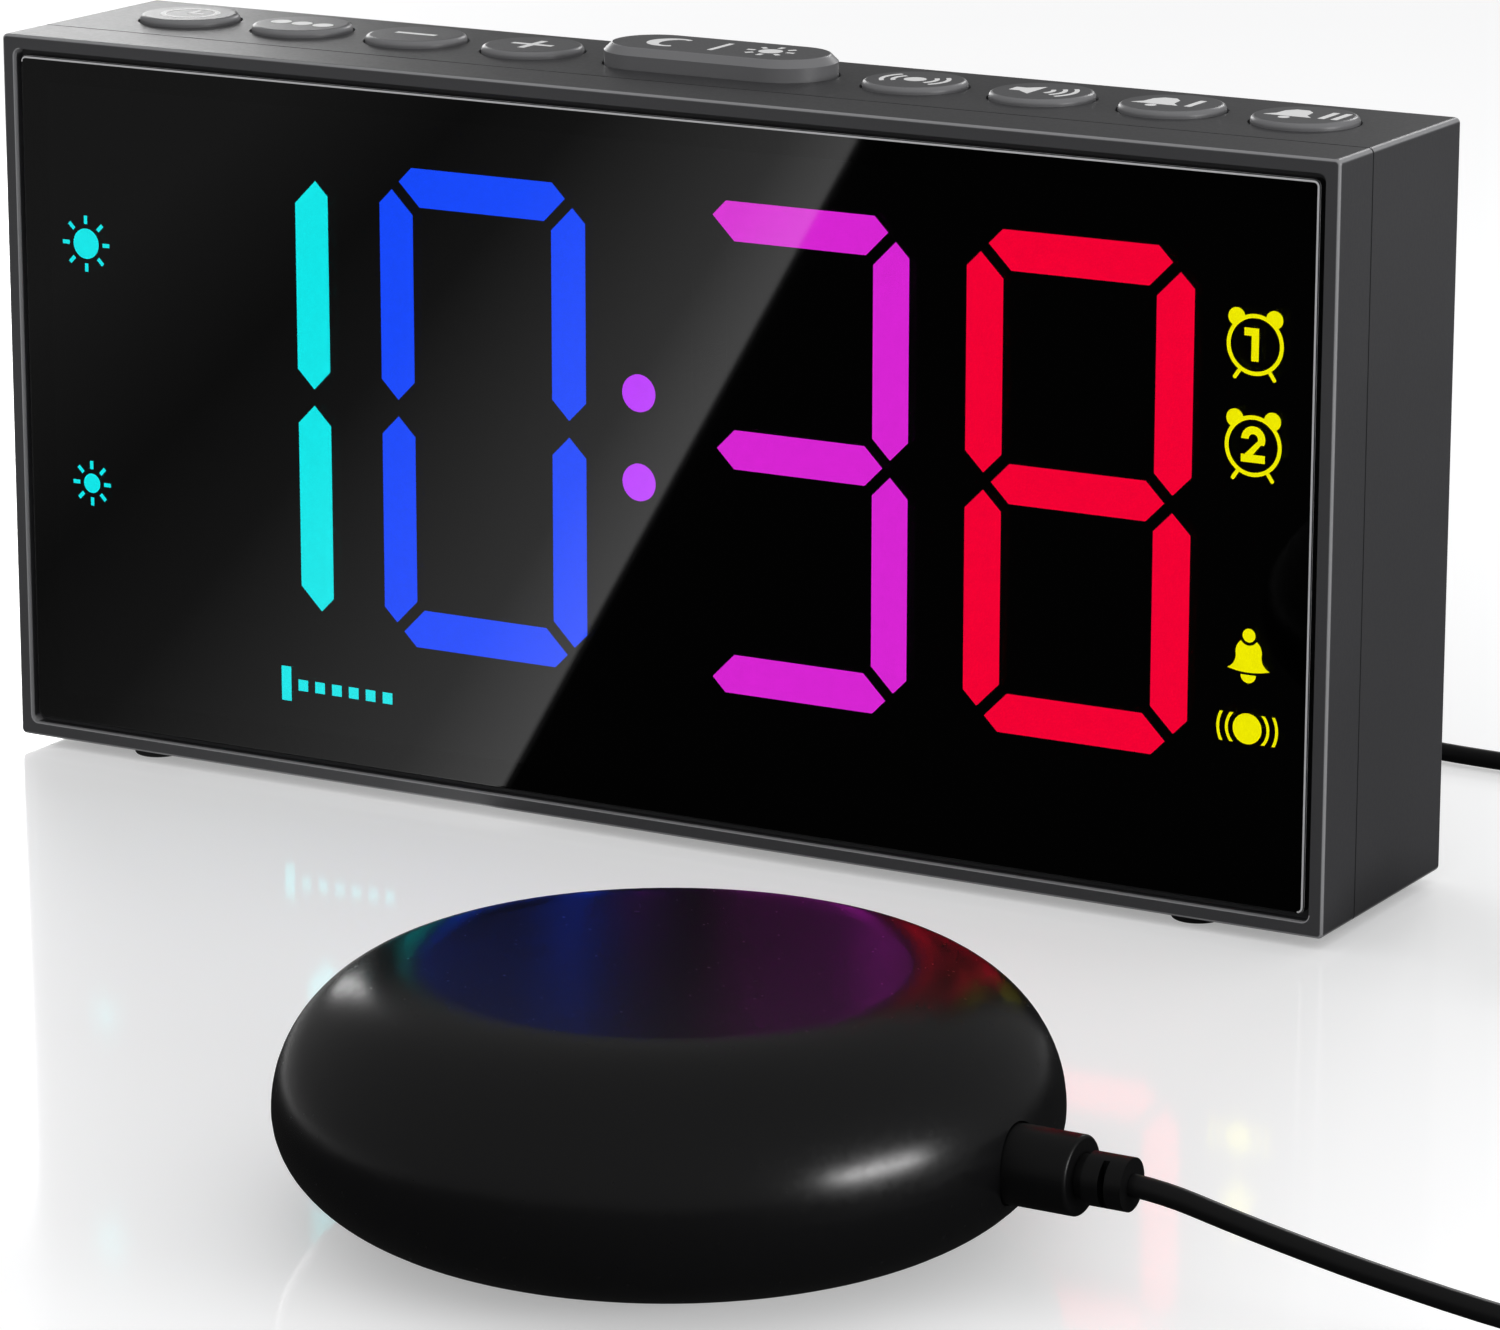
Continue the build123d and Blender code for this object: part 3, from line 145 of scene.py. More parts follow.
from_shaker = [
    lead_start,
    lead_start + Vector((3.8, 0, -0.2)),
    lead_start + Vector((10.4, 0, -1.7)),
    lead_start + Vector((19.0, 0, -3.4)),
    lead_start + Vector((27.6, -0.2, -4.8)),
    lead_start + Vector((41.4, 0.2, -6.9)),
    lead_start + Vector((56.4, 3.8, -9.5)),
    Vector((199.0, -106.0, 1.4)),
    Vector((204.6, -90.0, floor_line)),
    Vector((202.6, -72.0, floor_line)),
    Vector((195.6, -54.5, floor_line)),
    Vector((186.0, -39.0, floor_line)),
    coil_in + Vector((9.4, -31.8, -0.8)),
    coil_in + Vector((0, -16.6, 0)),
    coil_in,
]
to_clock = [
    coil_out,
    coil_out + Vector((0, 13.0, 0)),
    coil_out + Vector((-1.6, 27.6, -3.4)),
    coil_out + Vector((-7.6, 41.6, -7.8)),
    Vector((147.0, 67.0, 1.4)),
    Vector((133.6, 75.6, floor_line)),
    Vector((118.5, 81.2, floor_line)),
    Vector((102.4, 84.2, floor_line)),
    Vector((87.0, 85.3, floor_line)),
    Vector((72.0, 85.9, floor_line)),
    lead_end + Vector((28.4, 38.0, -19.6)),
    lead_end + Vector((16.0, 38.4, -16.2)),
    lead_end + Vector((6.0, 33.4, -9.7)),
    lead_end + Vector((1.0, 23.0, -3.2)),
    lead_end + Vector((0, 11.0, 0)),
    lead_end,
]
lead_points = [(point + shift) / 1000 for point in from_shaker + turns + to_clock]
print("lead has", len(lead_points), "points")

# %% The lead as one curve
lead_curve = bpy.data.curves.new("lead", "CURVE")
lead_curve.dimensions = "3D"
lead_curve.bevel_depth = 1.0
lead_curve.bevel_resolution = 3
lead_curve.resolution_u = 4
lead_curve.use_fill_caps = True
spline = lead_curve.splines.new("NURBS")
spline.points.add(len(lead_points) - 1)
for spot, point in zip(spline.points, lead_points):
    spot.co = (*point, 1.0)
    spot.radius = cord_width / 2000
spline.order_u = 3
spline.use_endpoint_u = True
lead = bpy.data.objects.new("lead", lead_curve)
bpy.context.scene.collection.objects.link(lead)
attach(lead, "clock_set")
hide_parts("lead_shaker_run", "lead_coil", "lead_clock_run")
print("lead rides on the clock set")

# %% [markdown]
# ## Small pieces that the CAD leaves out
# Four kinds of small pieces are made here as meshes: the prints on the keys, the rubber mat under them,
# the strap round the coil, and strips of painted highlight on the edges of the display. One function raises
# flat faces, and one turns a finished shape into an object that rides on a body.

# %% From a mesh to a piece


def piece(name, shape, body):
    """Makes an object of a bmesh in millimetres, and lets it ride on a body."""
    bmesh.ops.transform(shape, matrix=Matrix.Scale(0.001, 4), verts=shape.verts)
    bmesh.ops.recalc_face_normals(shape, faces=shape.faces)
    mesh = bpy.data.meshes.new(name)
    shape.to_mesh(mesh)
    shape.free()
    thing = bpy.data.objects.new(name, mesh)
    bpy.context.scene.collection.objects.link(thing)
    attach(thing, body)
    return thing


def raise_faces(shape, faces, height):
    """Makes flat faces into a solid of some height."""
    raised = bmesh.ops.extrude_face_region(shape, geom=faces)["geom"]
    moved = [item for item in raised if isinstance(item, bmesh.types.BMVert)]
    bmesh.ops.translate(shape, verts=moved, vec=(0, 0, height))


def key_node(key):
    """The CAD node of a key."""
    return key if key == "snooze_bar" else "button_" + key


# %% [markdown]
# ### Prints on the keys
# The keys of such a clock are pad printed in white. Plain pictures stand here instead of words: a dial,
# three colour dots, minus, plus, shaking rings, a loudspeaker, a bell with one or two bars, and a moon
# and a sun on the long key. Every picture is a few flat polygons a fiftieth of a millimetre high.

# %% Shapes for prints


def disc(x, y, radius, count=20):
    """A round spot."""
    steps = [2 * math.pi * i / count for i in range(count)]
    return [(x + radius * math.cos(turn), y + radius * math.sin(turn)) for turn in steps]


def bar(left, low, right, high):
    """A rectangle from one corner to the opposite one."""
    return [(left, low), (right, low), (right, high), (left, high)]


def band(x, y, inner, outer, start_turn, end_turn, count=12):
    """A part of a ring, as one polygon."""
    steps = [math.radians(start_turn + (end_turn - start_turn) * i / count) for i in range(count + 1)]
    there = [(x + outer * math.cos(turn), y + outer * math.sin(turn)) for turn in steps]
    back = [(x + inner * math.cos(turn), y + inner * math.sin(turn)) for turn in reversed(steps)]
    return there + back


def rings(x, y, reaches, spread):
    """Arcs on the right of a point, as sound or shaking is drawn."""
    return [band(x, y, reach - half_line, reach + half_line, -spread, spread) for reach in reaches]


def flipped(polygons):
    """The same polygons, mirrored to the other side."""
    return [[(-x, y) for x, y in polygon] for polygon in polygons]


def sun_ray(ray):
    """A ray of the sun, about as wide at its tip as at its foot."""
    corners = ((1.9, ray - 0.14), (2.8, ray - 0.1), (2.8, ray + 0.1), (1.9, ray + 0.14))
    return [(sun_x + reach * math.cos(turn), reach * math.sin(turn)) for reach, turn in corners]


# %% [markdown]
# A bell is an outline and its clapper. The moon is a part of a ring that swells towards its middle, and the
# sun is a disc with eight rays. All measures are millimetres from a key's middle, before the print is scaled.

# %% Pictures
half_line = 0.25
moon_x, sun_x = -6.0, 6.0
moon_steps, moon_swell = 24, 0.9
bell_shape = [(-2.6, -1.7), (2.6, -1.7), (1.7, -0.6), (1.5, 1.2),
              (0.7, 2.2), (-0.7, 2.2), (-1.5, 1.2), (-1.7, -0.6)]
bell = [[(x - 1.3, y + 0.2) for x, y in bell_shape], disc(-1.3, -2.3, 0.6)]
loudspeaker = [(-3.4, -0.9), (-2.2, -0.9), (-0.6, -2.3), (-0.6, 2.3), (-2.2, 0.9), (-3.4, 0.9)]
crescent = band(moon_x, 0, 2.0, 2.6, 60, 300, moon_steps)
moon = crescent[:moon_steps + 1]
for i, (x, y) in enumerate(crescent[moon_steps + 1:]):
    moon.append((x + moon_swell * math.sin(math.pi * i / moon_steps), y))
sun = [disc(sun_x, 0, 1.3)] + [sun_ray(math.pi / 4 * i) for i in range(8)]
pictures = {
    "time": [band(0, 0, 2.7, 3.3, 0, 180), band(0, 0, 2.7, 3.3, 180, 360), bar(-0.28, -0.28, 0.28, 2.0),
             bar(0.28, -0.28, 1.7, 0.28)],
    "colour": [disc(-2.7, 0, 1.15), disc(0, 0, 1.15), disc(2.7, 0, 1.15)],
    "minus": [bar(-2.5, -0.4, 2.5, 0.4)],
    "plus": [bar(-2.5, -0.4, 2.5, 0.4), bar(-0.4, 0.4, 0.4, 2.5), bar(-0.4, -2.5, 0.4, -0.4)],
    "vibrate": [disc(0, 0, 1.2)] + rings(0, 0, (2.3, 3.5), 40) + flipped(rings(0, 0, (2.3, 3.5), 40)),
    "volume": [loudspeaker] + rings(-0.6, 0, (1.7, 2.9, 4.1), 38),
    "alarm_1": bell + [bar(2.0, -1.5, 2.7, 2.4)],
    "alarm_2": bell + [bar(2.0, -1.5, 2.7, 2.4), bar(3.4, -1.5, 4.1, 2.4)],
    "snooze_bar": [moon, bar(-0.3, -2.4, 0.3, 2.4)] + sun,
}
print("drew", len(pictures), "pictures")

# %% Prints
print_height = 0.02
print_scale = 1.2
prints = []
for key, polygons in pictures.items():
    low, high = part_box(key_node(key))
    middle = Vector(((low[0] + high[0]) / 2, (low[1] + high[1]) / 2, high[2])) * 1000
    shape = bmesh.new()
    for polygon in polygons:
        spots = [Vector((x, y, 0)) * print_scale + middle for x, y in polygon]
        flat = shape.faces.new([shape.verts.new(spot) for spot in spots])
        raise_faces(shape, [flat], print_height)
    prints.append(piece("print_" + key, shape, "key_" + key))
print("printed", len(prints), "keys")

# %% [markdown]
# ### The rubber mat under the keys
# A silicone mat lies on the keypad board, with a hollow dome under each key that gives way to the key's
# stem and springs it back. The long key has two. The mat is an outline with round holes that is filled and
# thickened. A dome is a profile turned round its axis. The domes of a key are a piece of their own.

# %% Where the stems press
mat_low, mat_high = [Vector(place) * 1000 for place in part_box("keypad_mat")]
mat_thick = 1.0
snooze_stem = 8.0
stems = {}
for key in pictures:
    low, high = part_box(key_node(key))
    middle = (Vector(low) + Vector(high)) * 500
    reaches = (-snooze_stem, snooze_stem) if key == "snooze_bar" else (0.0,)
    stems[key] = [Vector((middle.x + reach, middle.y, mat_low.z + mat_thick)) for reach in reaches]
print("stems press at", sum(len(places) for places in stems.values()), "places")

# %% Mat
dome_hole = 2.9
round_steps = 24
shape = bmesh.new()
rectangle = bar(mat_low.x, mat_low.y, mat_high.x, mat_high.y)
outline = [shape.verts.new((x, y, mat_low.z)) for x, y in rectangle]
for here, there in zip(outline, outline[1:] + outline[:1]):
    shape.edges.new((here, there))
for places in stems.values():
    for stem in places:
        bmesh.ops.create_circle(shape, segments=round_steps, radius=dome_hole,
                                matrix=Matrix.Translation((stem.x, stem.y, mat_low.z)))
bmesh.ops.triangle_fill(shape, use_beauty=True, edges=shape.edges[:])
raise_faces(shape, shape.faces[:], mat_thick)
mat = piece("rubber_mat", shape, "clock_set")
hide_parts("keypad_mat")
print("mat has", len(mat.data.polygons), "faces")

# %% Domes
dome_profile = [(0.0, 2.4), (2.7, 2.4), (4.5, 0.0), (dome_hole, 0.0), (2.0, 1.0), (0.0, 1.0)]
rubber = [mat]
for key, places in stems.items():
    shape = bmesh.new()
    for stem in places:
        corners = [shape.verts.new(stem + Vector((reach, 0, rise))) for reach, rise in dome_profile]
        edges = [shape.edges.new(pair) for pair in zip(corners, corners[1:])]
        bmesh.ops.spin(shape, geom=corners + edges, cent=stem, axis=(0, 0, 1), angle=2 * math.pi,
                       steps=round_steps, use_merge=True)
    bmesh.ops.remove_doubles(shape, verts=shape.verts, dist=0.001)
    dome = piece("dome_" + key, shape, "clock_set")
    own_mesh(dome)
    rubber.append(dome)
print("domes under", len(rubber) - 1, "keys")

# %% [markdown]
# ### The strap
# A hook-and-loop strap holds the spare lead together. It is one band that goes round the bundle and laps
# over its own start, with a loose tail to pull. Its middle line is a list of points with rounded corners,
# and each point becomes four corners of the band's section.

# %% Middle line of the strap
strap_left, strap_right = 123.6, 140.0
strap_low, strap_top = 0.4, 12.5
strap_thick, strap_half = 0.7, 3.5
strap_corner = 1.6
strap_lap = 0.75
corner_steps = 5


def corner(x, z, first):
    """A rounded corner of the strap's middle line, going on for a quarter turn."""
    angles = [math.radians(first + 90 * i / corner_steps) for i in range(corner_steps + 1)]
    return [(x + strap_corner * math.cos(turn), z + strap_corner * math.sin(turn)) for turn in angles]


line = [(133.0, strap_top)]
line += corner(strap_left + strap_corner, strap_top - strap_corner, 90)
line += corner(strap_left + strap_corner, strap_low + strap_corner, 180)
line += corner(strap_right - strap_corner, strap_low + strap_corner, 270)
line += corner(strap_right - strap_corner, strap_top - strap_corner + strap_lap, 0)
line += [(134.0, strap_top + strap_lap), (129.5, strap_top + strap_lap), (127.6, 13.4), (126.0, 14.0)]
print("strap follows", len(line), "points")

# %% Strap
shape = bmesh.new()
sections = []
for i, (x, z) in enumerate(line):
    before = Vector(line[max(i - 1, 0)])
    after = Vector(line[min(i + 1, len(line) - 1)])
    way = (after - before).normalized()
    out = Vector((way.y, -way.x)) * strap_thick / 2
    sides = ((1, -strap_half), (1, strap_half), (-1, strap_half), (-1, -strap_half))
    spots = [Vector((x + side * out.x, across, z + side * out.y)) for side, across in sides]
    sections.append([shape.verts.new(spot + Vector((0, coil_middle.y, 0)) + shift) for spot in spots])
for here, there in zip(sections, sections[1:]):
    for i in range(4):
        shape.faces.new((here[i], here[(i + 1) % 4], there[(i + 1) % 4], there[i]))
shape.faces.new(sections[0])
shape.faces.new(list(reversed(sections[-1])))
strap = piece("strap", shape, "clock_set")
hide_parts("lead_tie")
print("strap has", len(strap.data.polygons), "faces and is declared with the lead")

# %% [markdown]
# ### Painted highlights round the display
# The rim of the acrylic sheet is polished round, and where it faces up or to the right a thin pale strip
# on it paints the bright line of a highlight. A strip paints the same on the frame's inner edge at the left
# and along the bottom. That edge is sharp in the CAD, so the hair-thin strip breaks it. Each strip follows
# two sides of a rounded outline.

# %% A painted highlight strip along an outline
skin, strip_thick = 0.015, 0.01
quarter_steps = 6


def painted_highlight_strip(name, node, centre, rows, corners):
    """A pale strip of painted highlight round corners of a node's outline. A row is an inset and a depth
    behind the front.
    """
    low, high = [Vector(place) * 1000 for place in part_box(node)]
    shape = bmesh.new()
    lines = []
    for inset, depth in rows:
        reach = centre - inset
        line = []
        for right, up, first in corners:
            x = high.x - centre if right else low.x + centre
            z = high.z - centre if up else low.z + centre
            for i in range(quarter_steps + 1):
                turn = math.radians(first + 90 * i / quarter_steps)
                spot = (x + reach * math.cos(turn), low.y + depth, z + reach * math.sin(turn))
                line.append(shape.verts.new(spot))
        lines.append(line)
    for outer, inner in zip(lines, lines[1:]):
        for i in range(len(outer) - 1):
            shape.faces.new((outer[i], outer[i + 1], inner[i + 1], inner[i]))
    shape.normal_update()
    bmesh.ops.solidify(shape, geom=shape.faces[:], thickness=strip_thick)
    return piece(name, shape, "clock_set")


# %% Painted highlights on the edges of the lens and of the frame
lens_round, lens_corner = 0.4, 0.9
lens_insets = (0.04, 0.2, 0.38)
bezel_face, recess_corner = 1.8, 1.0
rim_face, rim_depth = 0.12, 0.7
lens_rows = [(inset, lens_round - math.sqrt(lens_round ** 2 - (lens_round - inset) ** 2) - skin)
             for inset in lens_insets]
rim_rows = [(bezel_face - rim_face, -skin), (bezel_face + skin, -skin), (bezel_face + skin, rim_depth)]
lens_line = painted_highlight_strip("lens_edge", "display_lens", lens_corner, lens_rows,
                       ((1, 0, 270), (1, 1, 0), (0, 1, 90)))
rim_line = painted_highlight_strip("frame_edge", "front_frame", bezel_face + recess_corner, rim_rows,
                      ((0, 1, 90), (0, 0, 180), (1, 0, 270)))
print("edges have", len(lens_line.data.polygons) + len(rim_line.data.polygons), "faces")

# %% [markdown]
# ## Finishes
# Every finish starts from what the real piece is made of. Colours are written as they look on a
# screen and turned to linear light by one function. One small function adds a node, sets its values
# and links its inputs, so each finish reads as a list of what it does to the surface. Lengths of textures
# are written in millimetres, and a texture's scale is how many of them go into a metre.

# %% Helpers for finishes


def linear(code):
    """A colour written as a hex code, in linear light."""
    values = [int(code[i:i + 2], 16) / 255 for i in (1, 3, 5)]
    return tuple(v / 12.92 if v <= 0.04045 else ((v + 0.055) / 1.055) ** 2.4 for v in values) + (1.0,)


def add(tree, kind, settings=None, values=None, links=None):
    """Adds a node: settings are its own, values and links go to its inputs."""
    node = tree.nodes.new(kind)
    for name, value in (settings or {}).items():
        setattr(node, name, value)
    for name, value in (values or {}).items():
        node.inputs[name].default_value = value
    for name, source in (links or {}).items():
        tree.links.new(source, node.inputs[name])
    return node


def ramp(tree, source, stops):
    """A ramp of greys over a value: a stop is a place on the ramp and a level."""
    node = add(tree, "ShaderNodeValToRGB", links={"Fac": source})
    marks = node.color_ramp.elements
    for mark, (spot, level) in ((marks[0], stops[0]), (marks[1], stops[-1])):
        mark.position = spot
        mark.color = (level, level, level, 1.0)
    for spot, level in stops[1:-1]:
        marks.new(spot).color = (level, level, level, 1.0)
    return node.outputs["Color"]


def start(name):
    """A new material with an empty surface, and its tree."""
    material = bpy.data.materials.new(name)
    material.use_nodes = True
    material.node_tree.nodes.clear()
    return material, material.node_tree


def finish_with(tree, shader):
    """Makes a shader the surface of a material."""
    add(tree, "ShaderNodeOutputMaterial", links={"Surface": shader})


def wear(*names, material):
    """Gives a finish to CAD nodes."""
    for name in names:
        slots = nodes[name].data.materials
        slots.clear()
        slots.append(material)


# %% [markdown]
# ### Moulded plastics
# The case and keys are ABS from a spark-eroded mould, which leaves a fine even grain. A noise of about
# half a millimetre stands for the grain, as coarse as it needs to be to show. It bends the light a
# little and breaks up the gloss, and a much larger and fainter noise keeps wide faces from looking
# printed. Edges get a painted highlight, a paler grey mixed into their colour: on a box these are the places
# whose normal points along no axis, and on a key those that face neither up nor sideways, with its walls half
# as pale. The shaker and the plugs take the same recipe with a finer relief.

# %% Painted edge highlights
# The grey of the painted edge highlights.
highlight_grey = "#b4b4b6"


def paint_edge_highlights(tree, normal, shade, kind, paleness):
    """A colour with a painted highlight, a paler grey, along straight or round edges."""
    facing = add(tree, "ShaderNodeVectorMath", {"operation": "ABSOLUTE"}, links={0: normal})
    sides = add(tree, "ShaderNodeSeparateXYZ", links={"Vector": facing.outputs["Vector"]})
    square = sides.outputs["Z"]
    for side in ("X", "Y") if kind == "straight" else ():
        larger = add(tree, "ShaderNodeMath", {"operation": "MAXIMUM"},
                     links={0: square, 1: sides.outputs[side]})
        square = larger.outputs["Value"]
    edge = ramp(tree, square, ((0.05, paleness / 2), (0.3, paleness), (0.9, paleness), (0.99, 0.0)))
    paler = add(tree, "ShaderNodeMix", {"data_type": "RGBA"}, {7: linear(highlight_grey)},
                {"Factor": edge, 6: shade})
    return paler.outputs[2]


# %% Moulded plastics
cloud_mm = 30
gloss_spread = 0.05


def moulded(name, colour, roughness, grain_mm, depth_mm, ior=1.5, edge_highlight=None, paleness=0.0):
    """A moulded plastic: an even colour, grain in gloss and relief, and painted highlights on its edges if
    asked for.
    """
    material, tree = start(name)
    place = add(tree, "ShaderNodeTexCoord")
    grain = add(tree, "ShaderNodeTexNoise", values={"Scale": 1000 / grain_mm, "Detail": 2.0},
                links={"Vector": place.outputs["Object"]})
    cloud = add(tree, "ShaderNodeTexNoise", values={"Scale": 1000 / cloud_mm, "Detail": 3.0},
                links={"Vector": place.outputs["Object"]})
    tone = add(tree, "ShaderNodeMapRange", values={"To Min": 0.92, "To Max": 1.08},
               links={"Value": cloud.outputs["Fac"]})
    toned = add(tree, "ShaderNodeMix", {"data_type": "RGBA", "blend_type": "MULTIPLY"},
                {"Factor": 1.0, 6: linear(colour)}, {7: tone.outputs["Result"]})
    shade = toned.outputs[2]
    if edge_highlight:
        shade = paint_edge_highlights(tree, place.outputs["Normal"], shade, edge_highlight, paleness)
    gloss = add(tree, "ShaderNodeMapRange",
                values={"To Min": roughness - gloss_spread, "To Max": roughness + gloss_spread},
                links={"Value": grain.outputs["Fac"]})
    relief = add(tree, "ShaderNodeBump", values={"Strength": 1.0, "Distance": depth_mm / 1000},
                 links={"Height": grain.outputs["Fac"]})
    surface = add(tree, "ShaderNodeBsdfPrincipled", values={"IOR": ior},
                  links={"Base Color": shade, "Roughness": gloss.outputs["Result"],
                         "Normal": relief.outputs["Normal"]})
    finish_with(tree, surface.outputs["BSDF"])
    return material


# %% Plastics of the pieces
# The case and the keys carry painted highlights on their edges.
case_abs = moulded("grained_abs_case", "#434345", 0.39, 0.5, 0.012, edge_highlight="straight", paleness=0.6)
key_abs = moulded("satin_abs_keys", "#5c5c5e", 0.36, 0.4, 0.006, edge_highlight="round", paleness=0.3)
shaker_abs = moulded("satin_gloss_abs_shaker", "#101011", 0.25, 0.8, 0.0005, 1.55)
plug_pvc = moulded("moulded_pvc_plugs", "#0c0c0d", 0.38, 0.4, 0.006)
jack_nylon = moulded("moulded_nylon_jacks", "#161617", 0.34, 0.4, 0.004)
housing_abs = moulded("dull_black_housing", "#040404", 0.7, 0.5, 0.01)
foot_rubber = moulded("pressed_rubber_feet", "#1b1b1c", 0.75, 0.5, 0.02)
mat_silicone = moulded("silicone_keypad", "#9a9c9e", 0.6, 0.6, 0.01)
dark_diffuser = moulded("unlit_diffuser", "#0b0b0c", 0.5, 0.4, 0.004)

wear("front_frame", "rear_case", "battery_door", material=case_abs)
wear(*[name for name in nodes if name.startswith("button_")], "snooze_bar", material=key_abs)
wear("shaker_shell", "shaker_base", material=shaker_abs)
wear("shaker_plug", "clock_plug", material=plug_pvc)
wear("shaker_outlet", "power_inlet", "shaker_socket", material=jack_nylon)
wear("display_housing", material=housing_abs)
wear("rubber_feet", "shaker_pad", material=foot_rubber)
for soft in rubber:
    soft.data.materials.append(mat_silicone)
wear("unlit_segments", material=dark_diffuser)
white_ink = moulded("white_pad_print", "#f4f4f4", 0.5, 0.3, 0.004)
for picture in prints:
    picture.data.materials.append(white_ink)
# Both strips are painted highlights, in pale greys that stand for light on the edges.
lens_line.data.materials.append(moulded("painted_highlight_acrylic_edge", "#d0d0d2", 0.3, 0.4, 0.002))
rim_line.data.materials.append(moulded("painted_highlight_frame_edge", "#98989a", 0.4, 0.4, 0.004))
print("moulded plastics done")

# %% [markdown]
# ### The lens
# A smoked acrylic sheet covers the whole display. It is polished, so it mirrors the room faintly, and
# its grey tint makes everything behind it that is not lit vanish into black.

# %% Lens
lens_acrylic, tree = start("smoked_acrylic_lens")
place = add(tree, "ShaderNodeTexCoord")
wave = add(tree, "ShaderNodeTexNoise", values={"Scale": 1000 / 60, "Detail": 1.0},
           links={"Vector": place.outputs["Object"]})
ripple = add(tree, "ShaderNodeBump", values={"Strength": 0.4, "Distance": 0.00002},
             links={"Height": wave.outputs["Fac"]})
acrylic = add(tree, "ShaderNodeBsdfPrincipled",
              values={"Base Color": linear("#3a3a3c"), "Roughness": 0.02, "IOR": 1.49,
                      "Transmission Weight": 1.0},
              links={"Normal": ripple.outputs["Normal"]})
finish_with(tree, acrylic.outputs["BSDF"])
wear("display_lens", material=lens_acrylic)
print("lens is", lens_acrylic.name)

# %% [markdown]
# ### Lit bars and marks
# Each bar of a digit is a milky insert with a light behind it, so it glows evenly with a faint
# mottle from the diffusing grains in the plastic. An emission does the glow.

# %% Lit bars


def lit(name, colour, strength):
    """A diffusing insert lit from behind."""
    material, tree = start(name)
    place = add(tree, "ShaderNodeTexCoord")
    mottle = add(tree, "ShaderNodeTexNoise", values={"Scale": 1000 / 1.5, "Detail": 2.0},
                 links={"Vector": place.outputs["Object"]})
    level = add(tree, "ShaderNodeMapRange",
                values={"To Min": strength * 0.96, "To Max": strength * 1.04},
                links={"Value": mottle.outputs["Fac"]})
    surface = add(tree, "ShaderNodeBsdfPrincipled",
                  values={"Base Color": linear(colour), "Roughness": 0.5, "Emission Color": linear(colour)},
                  links={"Emission Strength": level.outputs["Result"]})
    finish_with(tree, surface.outputs["BSDF"])
    return material


glow = 24.0
wear("digit_hour_tens", "status_marks", material=lit("lit_cyan_diffuser", "#07e8e4", glow))
wear("digit_hour_units", material=lit("lit_blue_diffuser", "#0f49f5", glow))
wear("colon_dots", material=lit("lit_violet_diffuser", "#be35f5", glow))
wear("digit_minute_tens", material=lit("lit_magenta_diffuser", "#d926cf", glow))
wear("digit_minute_units", material=lit("lit_red_diffuser", "#f50032", glow))
wear("alarm_marks", "bell_mark", "vibration_mark", material=lit("lit_yellow_diffuser", "#f0eb00", glow))
print("display lit")

# %% [markdown]
# ### Metals, boards and small pieces
# Screws and sleeves are plated, the cell is drawn steel. A stretched noise gives their fine drawn
# lines. The boards are green laminate with the faint pattern of tracks under the solder mask.

# %% Metals


def drawn_metal(name, colour, roughness):
    """A plated or drawn metal with fine lines."""
    material, tree = start(name)
    place = add(tree, "ShaderNodeTexCoord")
    squeeze = add(tree, "ShaderNodeMapping", values={"Scale": (1.0, 0.08, 1.0)},
                  links={"Vector": place.outputs["Object"]})
    lines = add(tree, "ShaderNodeTexNoise", values={"Scale": 1000 / 0.3, "Detail": 2.0},
                links={"Vector": squeeze.outputs["Vector"]})
    gloss = add(tree, "ShaderNodeMapRange", values={"To Min": roughness - 0.08, "To Max": roughness + 0.08},
                links={"Value": lines.outputs["Fac"]})
    surface = add(tree, "ShaderNodeBsdfPrincipled",
                  values={"Base Color": linear(colour), "Metallic": 1.0},
                  links={"Roughness": gloss.outputs["Result"]})
    finish_with(tree, surface.outputs["BSDF"])
    return material


zinc = drawn_metal("zinc_plated_screws", "#8f9092", 0.35)
wear("display_screws", "keypad_screws", "case_screws", "main_board_screws", "shaker_screws", "clamp_screws",
     material=zinc)
wear("coin_cell", "motor_can", "motor_shaft", "cell_clip", "motor_clamp",
     material=drawn_metal("bright_drawn_steel", "#c8c8ca", 0.25))
wear("jack_pins", "plug_barrels", material=drawn_metal("nickel_plated_brass", "#d9d3c6", 0.18))
wear("eccentric_weight", material=drawn_metal("turned_brass_weight", "#b08d4a", 0.3))
wear("speaker_frame", material=drawn_metal("pressed_speaker_steel", "#77787a", 0.4))
print("metals done")

# %% Boards, lights and the speaker's cone
laminate, tree = start("green_board_laminate")
place = add(tree, "ShaderNodeTexCoord")
tracks = add(tree, "ShaderNodeTexBrick",
             values={"Scale": 1000 / 6, "Mortar Size": 0.06, "Color1": linear("#1d5a36"),
                     "Color2": linear("#1a5231"), "Mortar": linear("#2f7a4a")},
             links={"Vector": place.outputs["Object"]})
mask = add(tree, "ShaderNodeBsdfPrincipled", values={"Roughness": 0.3},
           links={"Base Color": tracks.outputs["Color"]})
finish_with(tree, mask.outputs["BSDF"])
wear("display_board", "keypad_board", "main_board", material=laminate)
wear("display_leds", material=moulded("moulded_light_bodies", "#e8e4d8", 0.3, 0.4, 0.002))
wear("speaker_cone", material=moulded("doped_paper_cone", "#1c1c1d", 0.8, 0.7, 0.03))
print("boards and speaker done")

# %% [markdown]
# ### The lead's jacket and the strap
# The jacket is soft vinyl with a satin shine. The strap is a woven hook-and-loop band, whose weave is
# two crossed waves about two millimetres long.

# %% Jacket and strap
lead_vinyl = moulded("satin_vinyl_jacket", "#0f0f10", 0.4, 0.5, 0.004)
lead_curve.materials.append(lead_vinyl)

